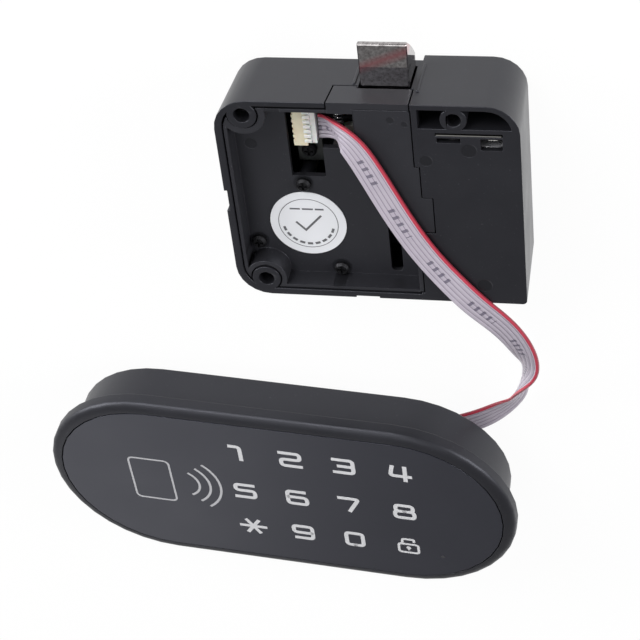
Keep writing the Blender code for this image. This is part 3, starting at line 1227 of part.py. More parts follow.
def light_guide(material, frame):
    top = -PANEL_THICKNESS - GAP
    guide = slab("light_guide", LIGHT_GUIDE_X, 0.0, LIGHT_GUIDE_WIDTH, LIGHT_GUIDE_LENGTH,
                 top - LIGHT_GUIDE_THICKNESS, top)
    return hang(guide, frame, material)


def status_led(material, frame):
    low = -KEYPAD_BOARD_DEPTH + GAP
    led = slab("status_led", STATUS_LED_X, STATUS_LED_Y, STATUS_LED_SIDE, STATUS_LED_SIDE, low,
               low + STATUS_LED_HEIGHT)
    return hang(led, frame, material)


def buzzer(material, frame):
    top = -KEYPAD_BOARD_DEPTH - KEYPAD_BOARD_THICKNESS - GAP
    can = post("buzzer", BUZZER_X, BUZZER_Y, BUZZER_RADIUS, top - BUZZER_HEIGHT, top, 32)
    carve(can, post("sound_hole", BUZZER_X, BUZZER_Y, BUZZER_HOLE, top - BUZZER_HEIGHT - CUT,
                    top - BUZZER_HEIGHT / 2, 16))
    return hang(can, frame, material)


def socket_top():
    return -KEYPAD_BOARD_DEPTH - KEYPAD_BOARD_THICKNESS - GAP


def keypad_socket(material, frame):
    top = socket_top()
    socket = slab("keypad_socket", EXIT_X, EXIT_Y, SOCKET_LENGTH, SOCKET_WIDTH, top - SOCKET_HEIGHT, top)
    carve(socket, slab("mouth", EXIT_X, EXIT_Y, SOCKET_PLUG_LENGTH + 2 * GAP, SOCKET_PLUG_WIDTH + 2 * GAP,
                       top - SOCKET_HEIGHT - CUT, top - SOCKET_WALL))
    return hang(socket, frame, material)


def plug_low():
    return socket_top() - SOCKET_WALL - GAP - SOCKET_PLUG_HEIGHT


def keypad_plug(material, frame):
    low = plug_low()
    plug = slab("keypad_plug", EXIT_X, EXIT_Y, SOCKET_PLUG_LENGTH, SOCKET_PLUG_WIDTH, low,
                low + SOCKET_PLUG_HEIGHT)
    return hang(plug, frame, material)


def keypad_pose():
    """Place of the keypad, tilted on the ribbon, with its lowest rear edge on the table."""
    angles = (KEYPAD_TURN_X, KEYPAD_TURN_Y, KEYPAD_TURN_Z)
    turn = Euler([math.radians(angle) for angle in angles]).to_matrix()
    rear_face = pill_ring(box_radius() - BOX_EDGE, -KEYPAD_DEPTH)
    rear_side = pill_ring(box_radius(), -KEYPAD_DEPTH + BOX_EDGE)
    lowest = min((turn @ Vector(point)).z for point in rear_face + rear_side)
    place = Vector((LOCK_X + KEYPAD_FACE_X, LOCK_Y + KEYPAD_FACE_Y, -lowest))
    return Matrix.Translation(place) @ turn.to_4x4()


# Ribbon over the lock: x, share of its length, height over its face, roll of the red edge in degrees
RIBBON_OVER_LOCK = (
    (0.0279, 0.8000, -0.0079, 0),
    (0.0299, 0.8127, -0.0055, 0),
    (0.0314, 0.8238, -0.0022, 4),
    (0.0341, 0.8222, 0.0004, 9),
    (0.0372, 0.7619, 0.0009, 11),
    (0.0420, 0.5825, 0.0009, -3),
    (0.0473, 0.3889, 0.0009, 4),
    (0.0533, 0.2222, 0.0009, 4),
    (0.0584, 0.1159, 0.0009, -1),
)

# Ribbon from the lock to the keypad: x, y, z, roll, which is 0 left of the run and 90 on top
RIBBON_TO_KEYPAD = (
    (0.0640, 0.0000, 0.0266, -5),
    (0.0692, -0.0060, 0.0251, -2),
    (0.0740, -0.0139, 0.0232, 2),
    (0.0767, -0.0235, 0.0204, 14),
    (0.0764, -0.0314, 0.0164, 42),
    (0.0743, -0.0386, 0.0115, 80),
    (0.0722, -0.0462, 0.0083, 117),
    (0.0717, -0.0529, 0.0048, 146),
    (0.0662, -0.0584, 0.0041, 162),
    (0.0605, -0.0634, 0.0042, 184),
    (0.0480, -0.0690, 0.0035, 180),
    (0.0400, -0.0713, 0.0030, 180),
    (0.0345, -0.0724, 0.0031, 180),
    (0.0308, -0.0729, 0.0046, 180),
)


def smooth_points(points, steps):
    """Catmull-Rom curve through the points, which may have any number of values each."""
    padded = [points[0], *points, points[-1]]
    curve = []
    for before, start, end, after in zip(padded, padded[1:], padded[2:], padded[3:]):
        for i in range(steps):
            t = i / steps
            curve.append([
                b + t * ((c - a) + t * ((2 * a - 5 * b + 4 * c - d) + t * (3 * b - a - 3 * c + d))) / 2
                for a, b, c, d in zip(before, start, end, after)
            ])
    curve.append(list(points[-1]))
    return curve


def ribbon_cable(material, pose):
    plug_middle = (BOARD_TOP + GAP + HEADER_WALL + GAP + HEADER_TOP - HEADER_WALL / 2 - GAP) / 2
    start_y = (PLUG_NEAR_Y + PLUG_END_Y) / 2 - RIBBON_WIDTH / 8
    start_x = PLUG_RIGHT + GAP
    start = [(start_x, start_y, plug_middle, 0), (start_x + RIBBON_THICKNESS, start_y, plug_middle, 0)]
    over = []
    for x, share, rise, roll in RIBBON_OVER_LOCK:
        over.append((x, share * HOUSING_LENGTH, HOUSING_DEPTH + rise, roll))
    route = [(x + LOCK_X, y + LOCK_Y, z, roll) for x, y, z, roll in (*start, *over, *RIBBON_TO_KEYPAD)]
    for depth in (KEYPAD_DEPTH / 3, RIBBON_THICKNESS, 0.0):
        point = pose @ Vector((EXIT_X, EXIT_Y, plug_low() - GAP - depth))
        route.append((*point, 180))
    curve = smooth_points(route, RIBBON_STEPS_PER_POINT)
    centres = [Vector(point[:3]) for point in curve]
    rings = []
    side = Vector((0, 1, 0))
    for i, centre in enumerate(centres):
        along = (centres[min(i + 1, len(centres) - 1)] - centres[max(i - 1, 0)]).normalized()
        level = Vector((-along.y, along.x, 0))
        if level.length > STEEPEST_LEVEL:
            side = level.normalized()
        flat = (side - along * side.dot(along)).normalized()
        upright = along.cross(flat)
        roll = math.radians(curve[i][3])
        across = flat * math.cos(roll) + upright * math.sin(roll)
        normal = along.cross(across)
        half = across * RIBBON_WIDTH / 2
        lift = normal * RIBBON_THICKNESS / 2
        rings.append([centre + half + lift, centre - half + lift, centre - half - lift, centre + half - lift])
    ribbon = loft("ribbon_cable", rings)
    length = sum((b - a).length for a, b in zip(centres, centres[1:]))
    print(f"ribbon length {length * 1000:.1f} mm")
    ribbon.data.materials.append(material)
    return ribbon


def tray_and_board_screws(material, frame):
    for number, (x, y) in enumerate(tray_screws(), start=1):
        screw = cross_screw(f"cover_screw_{number}", x, y, TRAY_FACE + GAP, SCREW_HEAD_RADIUS,
                            SCREW_HEAD_HEIGHT, SCREW_RADIUS, SCREW_LENGTH)
        hang(screw, frame, material)
    screw = cross_screw("pcb_screw", BOARD_SCREW_X, BOARD_SCREW_Y, BOARD_TOP + GAP, SCREW_HEAD_RADIUS,
                        SCREW_HEAD_HEIGHT, SCREW_RADIUS, SCREW_LENGTH * BOARD_SCREW_SHARE)
    hang(screw, frame, material)


def frame_at(name, matrix):
    frame = bpy.data.objects.new(name, None)
    bpy.context.scene.collection.objects.link(frame)
    frame.matrix_world = matrix
    return frame


def main():
    for leftover in list(bpy.data.objects):
        bpy.data.objects.remove(leftover)
    black = finish("black_plastic", (0.018, 0.018, 0.021), 0.42, 0.0)
    satin = finish("satin_black_plastic", (0.013, 0.013, 0.015), 0.3, 0.0)
    gloss = finish("smoked_panel", (0.01, 0.01, 0.012), 0.12, 0.0)
    chrome = finish("chrome", (0.72, 0.72, 0.74), 0.1, 1.0)
    steel = finish("bright_steel", (0.5, 0.5, 0.52), 0.3, 1.0)
    dark_steel = finish("blackened_steel", (0.05, 0.05, 0.055), 0.35, 1.0)
    brass = finish("brass", (0.72, 0.52, 0.22), 0.28, 1.0)
    copper = finish("copper_winding", (0.6, 0.25, 0.11), 0.35, 1.0)
    beige = finish("beige_nylon", (0.75, 0.66, 0.46), 0.5, 0.0)
    white = finish("white_nylon", (0.85, 0.84, 0.8), 0.45, 0.0)
    paper = finish("white_paper", (0.9, 0.9, 0.9), 0.6, 0.0)
    green = finish("green_board", (0.015, 0.09, 0.035), 0.4, 0.0)
    grey = finish("grey_wire", (0.55, 0.5, 0.56), 0.5, 0.0)
    frosted = finish("frosted_guide", (0.8, 0.82, 0.84), 0.55, 0.0)
    sleeve = finish("cell_sleeve", (0.05, 0.12, 0.3), 0.35, 0.0)
    amber = finish("amber_lamp", (0.8, 0.35, 0.05), 0.3, 0.0)

    lock = frame_at("lock_frame", Matrix.Translation((LOCK_X, LOCK_Y, 0.0)))
    pose = keypad_pose()
    keypad = frame_at("keypad_frame", pose)

    lock_housing(black, lock)
    inner_cover(black, lock)
    battery_door(black, lock)
    bolt(chrome, lock)
    bolt_carriage(satin, lock)
    bolt_spring(steel, lock)
    drive_motor(steel, lock)
    motor_gearbox(brass, lock)
    drive_screw(steel, lock)
    drive_nut(white, lock)
    limit_switch(satin, lock)
    switch_lever(steel, lock)
    lock_pcb(green, lock)
    pcb_header(beige, lock)
    cable_plug(white, lock)
    tray_and_board_screws(dark_steel, lock)
    inspection_seal(paper, lock)
    for number, ((x, z), direction) in enumerate(zip(cell_places(), (1, -1, -1, 1)), start=1):
        battery(number, x, z, direction, sleeve, lock)
    battery_contacts(steel, lock)
    contact_strip(steel, lock)

    keypad_bezel(satin, keypad)
    touch_panel(gloss, keypad)
    keypad_rear_box(satin, keypad)
    keypad_screws(dark_steel, keypad)
    mounting_inserts(brass, keypad)
    keypad_pcb(green, keypad)
    antenna_coil(copper, keypad)
    light_guide(frosted, keypad)
    status_led(amber, keypad)
    buzzer(satin, keypad)
    keypad_socket(white, keypad)
    keypad_plug(white, keypad)
    ribbon_cable(grey, pose)


main()
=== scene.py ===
import math

import bmesh
import bpy
from mathutils import Euler, Matrix, Vector


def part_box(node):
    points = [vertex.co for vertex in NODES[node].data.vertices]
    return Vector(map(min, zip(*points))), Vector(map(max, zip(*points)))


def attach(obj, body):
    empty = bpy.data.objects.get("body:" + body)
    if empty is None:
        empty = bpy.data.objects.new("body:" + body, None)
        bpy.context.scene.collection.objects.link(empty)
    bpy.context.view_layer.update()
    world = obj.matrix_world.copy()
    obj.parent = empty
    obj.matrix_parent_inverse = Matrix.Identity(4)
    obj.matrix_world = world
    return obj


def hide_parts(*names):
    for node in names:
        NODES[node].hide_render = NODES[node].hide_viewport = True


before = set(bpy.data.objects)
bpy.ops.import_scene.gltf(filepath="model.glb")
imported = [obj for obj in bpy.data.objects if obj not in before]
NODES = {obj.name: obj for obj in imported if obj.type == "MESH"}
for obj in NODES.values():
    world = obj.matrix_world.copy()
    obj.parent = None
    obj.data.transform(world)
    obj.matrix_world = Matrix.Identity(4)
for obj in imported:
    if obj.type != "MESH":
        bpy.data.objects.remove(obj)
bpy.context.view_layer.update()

# Place of the lock body's corner in the row frame
LOCK_CORNER = Vector((-0.00422, 0.01955, 0.0))

# Keypad's tilt in degrees, and the depth below its touch face in which points still belong to the face
KEYPAD_TURN = (6.63, -3.865, -1.26)
FACE_DEPTH = 0.0002

# Camera's place in metres, turn in degrees, lens and sensor in millimetres, and clipping in metres
CAMERA_PLACE = (0.12771, 0.36762, 0.43009)
CAMERA_TURN = (-41.6551, 10.4371, -5.7213)
CAMERA_LENS = 113.893
SENSOR = 36.0
CLIP_NEAR = 0.01
CLIP_FAR = 10.0


def make_camera():
    """Camera at the photograph's viewing angle."""
    data = bpy.data.cameras.new("camera")
    data.lens = CAMERA_LENS
    data.sensor_width = SENSOR
    data.clip_start = CLIP_NEAR
    data.clip_end = CLIP_FAR
    camera = bpy.data.objects.new("camera", data)
    camera.location = CAMERA_PLACE
    camera.rotation_euler = [math.radians(angle) for angle in CAMERA_TURN]
    bpy.context.scene.collection.objects.link(camera)
    bpy.context.scene.camera = camera


def keypad_frame():
    """Matrix whose origin is the touch face's centre and whose z leaves the face."""
    turn = Euler([math.radians(angle) for angle in KEYPAD_TURN]).to_matrix()
    normal = turn.col[2]
    points = {tuple(round(c, 6) for c in v.co) for v in NODES["touch_panel"].data.vertices}
    top = max(Vector(point).dot(normal) for point in points)
    face = [Vector(point) for point in points if top - Vector(point).dot(normal) < FACE_DEPTH]
    centre = sum(face, Vector()) / len(face)
    return Matrix.Translation(centre) @ turn.to_4x4()


# Node helpers for the materials
class Paint:
    """Short calls for building one material's node tree."""

    def __init__(self, name):
        self.material = bpy.data.materials.new(name)
        self.material.use_nodes = True
        self.tree = self.material.node_tree
        self.shader = self.tree.nodes["Principled BSDF"]
        self.coords = self.tree.nodes.new("ShaderNodeTexCoord").outputs["Object"]

    def set(self, **values):
        for key, value in values.items():
            self.shader.inputs[key.replace("_", " ")].default_value = value
        return self

    def link(self, value, socket):
        if isinstance(value, (int, float)):
            socket.default_value = value
        else:
            self.tree.links.new(value, socket)

    def math(self, operation, first, second=0.0, third=0.0):
        node = self.tree.nodes.new("ShaderNodeMath")
        node.operation = operation
        for value, socket in zip((first, second, third), node.inputs):
            self.link(value, socket)
        return node.outputs[0]

    def noise(self, scale, detail=2.0, rough=0.5, stretch=None):
        node = self.tree.nodes.new("ShaderNodeTexNoise")
        node.inputs["Scale"].default_value = scale
        node.inputs["Detail"].default_value = detail
        node.inputs["Roughness"].default_value = rough
        source = self.coords
        if stretch:
            mapping = self.tree.nodes.new("ShaderNodeMapping")
            mapping.inputs["Scale"].default_value = stretch
            self.tree.links.new(source, mapping.inputs["Vector"])
            source = mapping.outputs["Vector"]
        self.tree.links.new(source, node.inputs["Vector"])
        return node.outputs["Fac"]

    def voronoi(self, scale):
        node = self.tree.nodes.new("ShaderNodeTexVoronoi")
        node.inputs["Scale"].default_value = scale
        self.tree.links.new(self.coords, node.inputs["Vector"])
        return node.outputs["Distance"]

    def span(self, value, low, high, to_low=0.0, to_high=1.0):
        node = self.tree.nodes.new("ShaderNodeMapRange")
        node.inputs["From Min"].default_value = low
        node.inputs["From Max"].default_value = high
        node.inputs["To Min"].default_value = to_low
        node.inputs["To Max"].default_value = to_high
        self.link(value, node.inputs["Value"])
        return node.outputs["Result"]

    def mix(self, fac, first, second):
        node = self.tree.nodes.new("ShaderNodeMix")
        node.data_type = "RGBA"
        self.link(fac, node.inputs["Factor"])
        for value, socket in ((first, node.inputs[6]), (second, node.inputs[7])):
            if isinstance(value, tuple):
                socket.default_value = (*value, 1.0)
            else:
                self.tree.links.new(value, socket)
        return node.outputs[2]

    def split(self, vector=None):
        node = self.tree.nodes.new("ShaderNodeSeparateXYZ")
        self.tree.links.new(vector or self.coords, node.inputs[0])
        return node.outputs

    def uv(self):
        node = self.tree.nodes.new("ShaderNodeUVMap")
        node.uv_map = "uv"
        return self.split(node.outputs["UV"])

    def bump(self, height, strength, distance, normal=None):
        node = self.tree.nodes.new("ShaderNodeBump")
        node.inputs["Strength"].default_value = strength
        node.inputs["Distance"].default_value = distance
        self.link(height, node.inputs["Height"])
        if normal is not None:
            self.tree.links.new(normal, node.inputs["Normal"])
        return node.outputs["Normal"]

    def finish(self, colour, rough=None, normal=None):
        for value, key in ((colour, "Base Color"), (rough, "Roughness"), (normal, "Normal")):
            if value is not None:
                self.tree.links.new(value, self.shader.inputs[key])
        return self.material


# Half width of the sloping edge of an ejector mark
MARK_EDGE = 0.00012


def moulded(name, dark, light, rough, grain=0.00022, depth=0.00002, marks=(), grooves=()):
    """Moulded black plastic: eroded grain, flow clouds, dust, and sunken marks and scored lines darkened with
    painted shade.
    """
    paint = Paint(name).set(Specular_Tint=(0.86, 0.88, 1.0, 1.0))
    clouds = paint.noise(60.0, 3.0, 0.6)
    fine = paint.noise(1.0 / grain, 2.0, 0.55)
    dust = paint.span(paint.noise(1900.0, 1.0, 0.4), 0.74, 0.78)
    tone = paint.mix(clouds, dark, light)
    colour = paint.mix(paint.math("MULTIPLY", dust, 0.12), tone, (0.2, 0.2, 0.22))
    texture = paint.math("ADD", clouds, paint.math("MULTIPLY", fine, 0.5))
    shine = paint.span(texture, 0.4, 1.1, rough - 0.06, rough + 0.08)
    normal = paint.bump(fine, 0.35, depth)
    if marks or grooves:
        sunk_and_shade = paint.math("ADD", ring_marks(paint, marks), scored_lines(paint, grooves))
        # Painted shade: sunken marks and lines are darkened towards near black, as if shaded inside their
        # recesses
        colour = paint.mix(paint.math("MULTIPLY", sunk_and_shade, 0.55), colour, (0.001, 0.001, 0.0012))
        normal = paint.bump(paint.math("MULTIPLY", sunk_and_shade, -1.0), 0.6, 0.00012, normal)
    return paint.finish(colour, shine, normal)


def ring_marks(paint, marks):
    """Depth share of shallow round marks, each given by its centre in x and y and its radius, also used as
    painted shade.
    """
    x, y, _ = paint.split()
    total = 0.0
    for centre_x, centre_y, radius in marks:
        across = paint.math("SUBTRACT", x, LOCK_CORNER.x + centre_x)
        along = paint.math("SUBTRACT", y, LOCK_CORNER.y + centre_y)
        across_squared = paint.math("MULTIPLY", across, across)
        along_squared = paint.math("MULTIPLY", along, along)
        distance = paint.math("SQRT", paint.math("ADD", across_squared, along_squared))
        inside = paint.span(distance, radius - MARK_EDGE, radius + MARK_EDGE, 1.0, 0.0)
        total = paint.math("ADD", total, inside)
    return total


def scored_lines(paint, grooves):
    """Depth share of fine straight grooves, each given by its centre and half sizes in x and y."""
    x, y, _ = paint.split()
    total = 0.0
    for centre_x, centre_y, half_x, half_y in grooves:
        inside = paint.math("MULTIPLY", paint.math("COMPARE", x, LOCK_CORNER.x + centre_x, half_x),
                            paint.math("COMPARE", y, LOCK_CORNER.y + centre_y, half_y))
        total = paint.math("ADD", total, inside)
    return total


def metal(name, colour, dull, rough, stretch=None, scale=900.0, scratch=0.3):
    """Metal with drawn or brushed lines along one axis, faint stains and small pits."""
    paint = Paint(name).set(Metallic=1.0)
    lines = paint.noise(scale, 3.0, 0.6, stretch=stretch or (1.0, 0.06, 1.0))
    stains = paint.noise(140.0, 3.0, 0.6)
    shade = paint.mix(paint.span(stains, 0.35, 0.75), colour, dull)
    shine = paint.span(paint.math("ADD", lines, stains), 0.6, 1.5, rough * 0.7, rough * 1.5)
    normal = paint.bump(lines, scratch, 0.000012)
    return paint.finish(shade, shine, normal)


# Painted reddish reflection across the bolt: its slope, its level and its half width
REFLECTION_SLOPE = -0.42
REFLECTION_LEVEL = 0.0736
REFLECTION_REACH = 0.0022


def chrome_plate(name):
    """Bright plate over a cast bolt: soft orange-peel, hairlines, dull rubs and a painted reddish reflection.
    """
    paint = Paint(name).set(Metallic=1.0)
    peel = paint.noise(420.0, 2.0, 0.5)
    mottle = paint.span(paint.noise(1100.0, 3.0, 0.7), 0.35, 0.7)
    x, y, _ = paint.split()
    slope = paint.math("ADD", paint.math("MULTIPLY", x, REFLECTION_SLOPE), y)
    away = paint.math("ABSOLUTE", paint.math("SUBTRACT", slope, REFLECTION_LEVEL))
    painted_reflection = paint.span(away, 0.0, REFLECTION_REACH, 0.75, 0.0)
    hair = paint.noise(2600.0, 2.0, 0.6, stretch=(1.0, 0.05, 0.3))
    rub = paint.span(paint.noise(180.0, 4.0, 0.65), 0.55, 0.75)
    shade = paint.mix(mottle, (0.50, 0.48, 0.48), (0.22, 0.205, 0.205))
    # Painted reflection: a reddish band mixed into the plate's colour along a slanted line
    shade = paint.mix(painted_reflection, shade, (0.55, 0.2, 0.22))
    shine = paint.span(paint.math("ADD", hair, paint.math("MULTIPLY", rub, 0.6)), 0.4, 1.4, 0.05, 0.17)
    normal = paint.bump(hair, 0.08, 0.00001, paint.bump(peel, 0.12, 0.00003))
    return paint.finish(shade, shine, normal)


def nylon(name, colour, shade, rough=0.42):
    """Natural or tinted nylon: slightly cloudy, a little light passing, faint mould grain."""
    paint = Paint(name).set(Subsurface_Weight=0.12, Subsurface_Scale=0.0008)
    clouds = paint.noise(700.0, 3.0, 0.55)
    grain = paint.noise(5200.0, 2.0, 0.5)
    tone = paint.mix(paint.span(clouds, 0.3, 0.8), colour, shade)
    shine = paint.span(clouds, 0.2, 0.8, rough - 0.05, rough + 0.12)
    return paint.finish(tone, shine, paint.bump(grain, 0.25, 0.00001))


# Waves of the laminate's weave in each metre, in radians
WEAVE_SCALE = 9000.0


def board(name):
    """Near-black tone under a clear coat over a woven laminate with faint copper areas under it."""
    paint = Paint(name).set(Coat_Weight=0.6, Coat_Roughness=0.15)
    x, y, _ = paint.split()
    weave_x = paint.math("SINE", paint.math("MULTIPLY", x, WEAVE_SCALE))
    weave_y = paint.math("SINE", paint.math("MULTIPLY", y, WEAVE_SCALE))
    weave = paint.math("MULTIPLY", weave_x, weave_y)
    copper = paint.span(paint.noise(320.0, 1.0, 0.3), 0.5, 0.53)
    tone = paint.mix(copper, (0.002, 0.003, 0.0028), (0.004, 0.0065, 0.0055))
    height = paint.math("ADD", paint.math("MULTIPLY", weave, 0.3), copper)
    return paint.finish(tone, paint.span(weave, -1.0, 1.0, 0.34, 0.46), paint.bump(height, 0.3, 0.00003))


def paper(name):
    """Coated label paper with faint fibre and a slightly worn tone."""
    paint = Paint(name)
    fibre = paint.noise(5200.0, 4.0, 0.7, stretch=(1.0, 0.3, 1.0))
    cloud = paint.noise(120.0, 3.0, 0.5)
    tone = paint.mix(cloud, (0.66, 0.67, 0.70), (0.72, 0.73, 0.76))
    shine = paint.span(cloud, 0.3, 0.7, 0.42, 0.55)
    return paint.finish(tone, shine, paint.bump(fibre, 0.25, 0.000015))


def panel_plastic(name):
    """Dark printed touch panel: very smooth with a soft haze and faint hard-coat specks."""
    paint = Paint(name).set(Coat_Weight=0.25, Coat_Roughness=0.3, Coat_Tint=(0.84, 0.86, 1.0, 1.0),
                            Specular_Tint=(0.84, 0.86, 1.0, 1.0))
    haze = paint.noise(45.0, 2.0, 0.5)
    specks = paint.span(paint.noise(2600.0, 1.0, 0.4), 0.76, 0.8)
    tone = paint.mix(haze, (0.011, 0.0112, 0.0155), (0.014, 0.0143, 0.0195))
    tone = paint.mix(paint.math("MULTIPLY", specks, 0.2), tone, (0.15, 0.15, 0.16))
    shine = paint.span(haze, 0.3, 0.7, 0.3, 0.36)
    return paint.finish(tone, shine, paint.bump(paint.noise(900.0, 2.0, 0.5), 0.05, 0.00001))


def print_ink(name, colour):
    """Screen print: slightly uneven edge tone with fine mesh texture."""
    paint = Paint(name)
    mesh = paint.noise(6500.0, 2.0, 0.5)
    cloud = paint.noise(500.0, 2.0, 0.5)
    low = tuple(channel * 0.88 for channel in colour)
    tone = paint.mix(cloud, low, colour)
    return paint.finish(tone, paint.span(mesh, 0.3, 0.7, 0.45, 0.6), paint.bump(mesh, 0.2, 0.000008))


def winding(name):
    """Flat copper winding: lacquered turns side by side."""
    paint = Paint(name).set(Metallic=1.0, Coat_Weight=0.5)
    turns = paint.noise(3200.0, 1.0, 0.3, stretch=(0.1, 0.1, 8.0))
    tone = paint.mix(turns, (0.5, 0.2, 0.09), (0.72, 0.33, 0.16))
    return paint.finish(tone, paint.span(turns, 0.3, 0.7, 0.25, 0.4), paint.bump(turns, 0.5, 0.00005))


def frosted(name):
    """Light guide resin: cloudy, with fine moulded dots."""
    paint = Paint(name).set(Subsurface_Weight=0.3, Subsurface_Scale=0.002)
    dots = paint.span(paint.voronoi(900.0), 0.2, 0.4)
    tone = paint.mix(dots, (0.86, 0.88, 0.9), (0.74, 0.76, 0.78))
    return paint.finish(tone, paint.span(dots, 0.0, 1.0, 0.35, 0.6), paint.bump(dots, 0.3, 0.00005))


# Range in y over which a cell's sleeve turns from dark to silver
SLEEVE_BAND = (0.052, 0.0525)


def cell_sleeve(name):
    """Shrink sleeve of a cell: dark band, silver band and faint shrink lines."""
    paint = Paint(name).set(Coat_Weight=0.4, Coat_Roughness=0.15)
    _, y, _ = paint.split()
    band = paint.span(y, *SLEEVE_BAND)
    lines = paint.noise(1600.0, 2.0, 0.5, stretch=(1.0, 0.1, 1.0))
    tone = paint.mix(band, (0.02, 0.06, 0.2), (0.3, 0.3, 0.32))
    return paint.finish(tone, paint.span(lines, 0.3, 0.7, 0.25, 0.38), paint.bump(lines, 0.3, 0.00002))


# Ejector marks from the lock's corner: centre in x and y, and radius; the three widest tray marks ring the
# cover screws as painted shade of their countersinks
BLOCK_MARKS = (
    (0.0540, 0.0461, 0.0016), (0.0650, 0.0496, 0.002), (0.067, 0.006, 0.002), (0.0555, 0.012, 0.0015),
)
TRAY_MARKS_AND_SCREW_SHADE = (
    (0.0157, 0.0596, 0.0021), (0.0457, 0.0581, 0.0010), (0.0492, 0.0570, 0.0008), (0.0072, 0.0455, 0.0016),
    (0.02, 0.033, 0.0026), (0.0058, 0.0135, 0.0026), (0.0277, 0.0053, 0.0026),
)

# Scored plate outline on the tray from the lock's corner: centre and half sizes in x and y
TRAY_GROOVES = ((0.0364, 0.0480, 0.00014, 0.0130), (0.0435, 0.0611, 0.0072, 0.00014))

# Materials of the carried-over solids
MATERIALS = {
    "lock_black": moulded("lock_black", (0.0085, 0.0085, 0.0105), (0.012, 0.012, 0.0145), 0.32,
                          marks=BLOCK_MARKS),
    "tray_black": moulded("tray_black", (0.0125, 0.0125, 0.015), (0.017, 0.017, 0.02), 0.38, grain=0.00018,
                          marks=TRAY_MARKS_AND_SCREW_SHADE, grooves=TRAY_GROOVES),
    "door_black": moulded("door_black", (0.0095, 0.0095, 0.0115), (0.014, 0.014, 0.0165), 0.44, grain=0.0003),
    "bezel_black": moulded("bezel_black", (0.0075, 0.0075, 0.0095), (0.0105, 0.0105, 0.013), 0.44,
                           grain=0.00012, depth=0.00001),
    "rear_black": moulded("rear_black", (0.0095, 0.0095, 0.0115), (0.0135, 0.0135, 0.016), 0.4,
                          grain=0.0003, depth=0.00003),
    "panel": panel_plastic("panel"),
    "chrome": chrome_plate("chrome"),
    "spring_steel": metal("spring_steel", (0.85, 0.85, 0.87), (0.7, 0.7, 0.71), 0.2, (1.0, 1.0, 0.3), 2400.0),
    "can_steel": metal("can_steel", (0.55, 0.55, 0.56), (0.42, 0.42, 0.43), 0.27, (1.0, 0.05, 1.0), 1400.0),
    "screw_steel": metal("screw_steel", (0.035, 0.035, 0.038), (0.02, 0.02, 0.022), 0.55,
                         (1.0, 1.0, 0.1), 1500.0, 0.35),
    "contact_plate": metal("contact_plate", (0.6, 0.59, 0.56), (0.42, 0.41, 0.39), 0.22,
                           (0.3, 1.0, 1.0), 1600.0),
    # Near-black copy of the contact plate metal for the end contacts, as painted shade inside the battery
    # window
    "contact_painted_shade": metal("contact_painted_shade", (0.07, 0.07, 0.072), (0.04, 0.04, 0.042), 0.3,
                          (0.3, 1.0, 1.0), 1600.0),
    "brass": metal("brass", (0.66, 0.47, 0.2), (0.5, 0.34, 0.14), 0.27, (1.0, 0.08, 1.0), 2000.0),
    "gear_nylon": nylon("gear_nylon", (0.72, 0.7, 0.63), (0.64, 0.62, 0.55)),
    "carriage_nylon": nylon("carriage_nylon", (0.05, 0.05, 0.055), (0.035, 0.035, 0.04), 0.45),
    "beige_nylon": nylon("beige_nylon", (0.74, 0.68, 0.52), (0.66, 0.59, 0.43), 0.5),
    "white_nylon": nylon("white_nylon", (0.82, 0.82, 0.8), (0.74, 0.74, 0.72), 0.4),
    "switch_red": nylon("switch_red", (0.3, 0.02, 0.015), (0.2, 0.015, 0.01), 0.4),
    "switch_blue": nylon("switch_blue", (0.02, 0.025, 0.03), (0.03, 0.035, 0.045), 0.4),
    "board": board("board"),
    "paper": paper("paper"),
    "winding": winding("winding"),
    "frosted": frosted("frosted"),
    "cell_sleeve": cell_sleeve("cell_sleeve"),
}

NODE_MATERIALS = {
    "lock_housing": "lock_black", "inner_cover": "tray_black", "battery_door": "door_black",
    "bolt": "chrome", "bolt_carriage": "carriage_nylon", "bolt_spring": "spring_steel",
    "drive_motor": "can_steel", "motor_gearbox": "gear_nylon", "drive_screw": "brass",
    "drive_nut": "gear_nylon", "limit_switch": "switch_blue", "switch_lever": "contact_plate",
    "lock_pcb": "board", "pcb_header": "beige_nylon", "cable_plug": "white_nylon",
    "inspection_seal": "paper", "contact_strip": "contact_plate", "keypad_bezel": "bezel_black",
    "touch_panel": "panel", "keypad_rear_box": "rear_black", "keypad_pcb": "board",
    "antenna_coil": "winding", "light_guide": "frosted", "status_led": "frosted",
    "buzzer": "switch_blue", "keypad_socket": "beige_nylon", "keypad_plug": "white_nylon",
    "pcb_screw": "screw_steel",
}

# Numbered solids by the name without its number
GROUP_MATERIALS = {
    "cover_screw": "screw_steel", "keypad_screw": "screw_steel", "battery": "cell_sleeve",
    "cell_link": "contact_plate", "end_contact": "contact_painted_shade", "mounting_insert": "brass",
}

# Width of the rounded edges of each solid that has them
EDGE_ROUNDS = {
    "lock_housing": 0.00016, "inner_cover": 0.00012, "battery_door": 0.00015, "keypad_bezel": 0.00012,
    "keypad_rear_box": 0.0002, "touch_panel": 0.0001, "bolt": 0.00022, "pcb_header": 0.00008,
    "cable_plug": 0.00008,
}
ROUND_SEGMENTS = 2
ROUND_ANGLE = 35
SHARP_ANGLE = 32
WELD_GAP = 0.000002


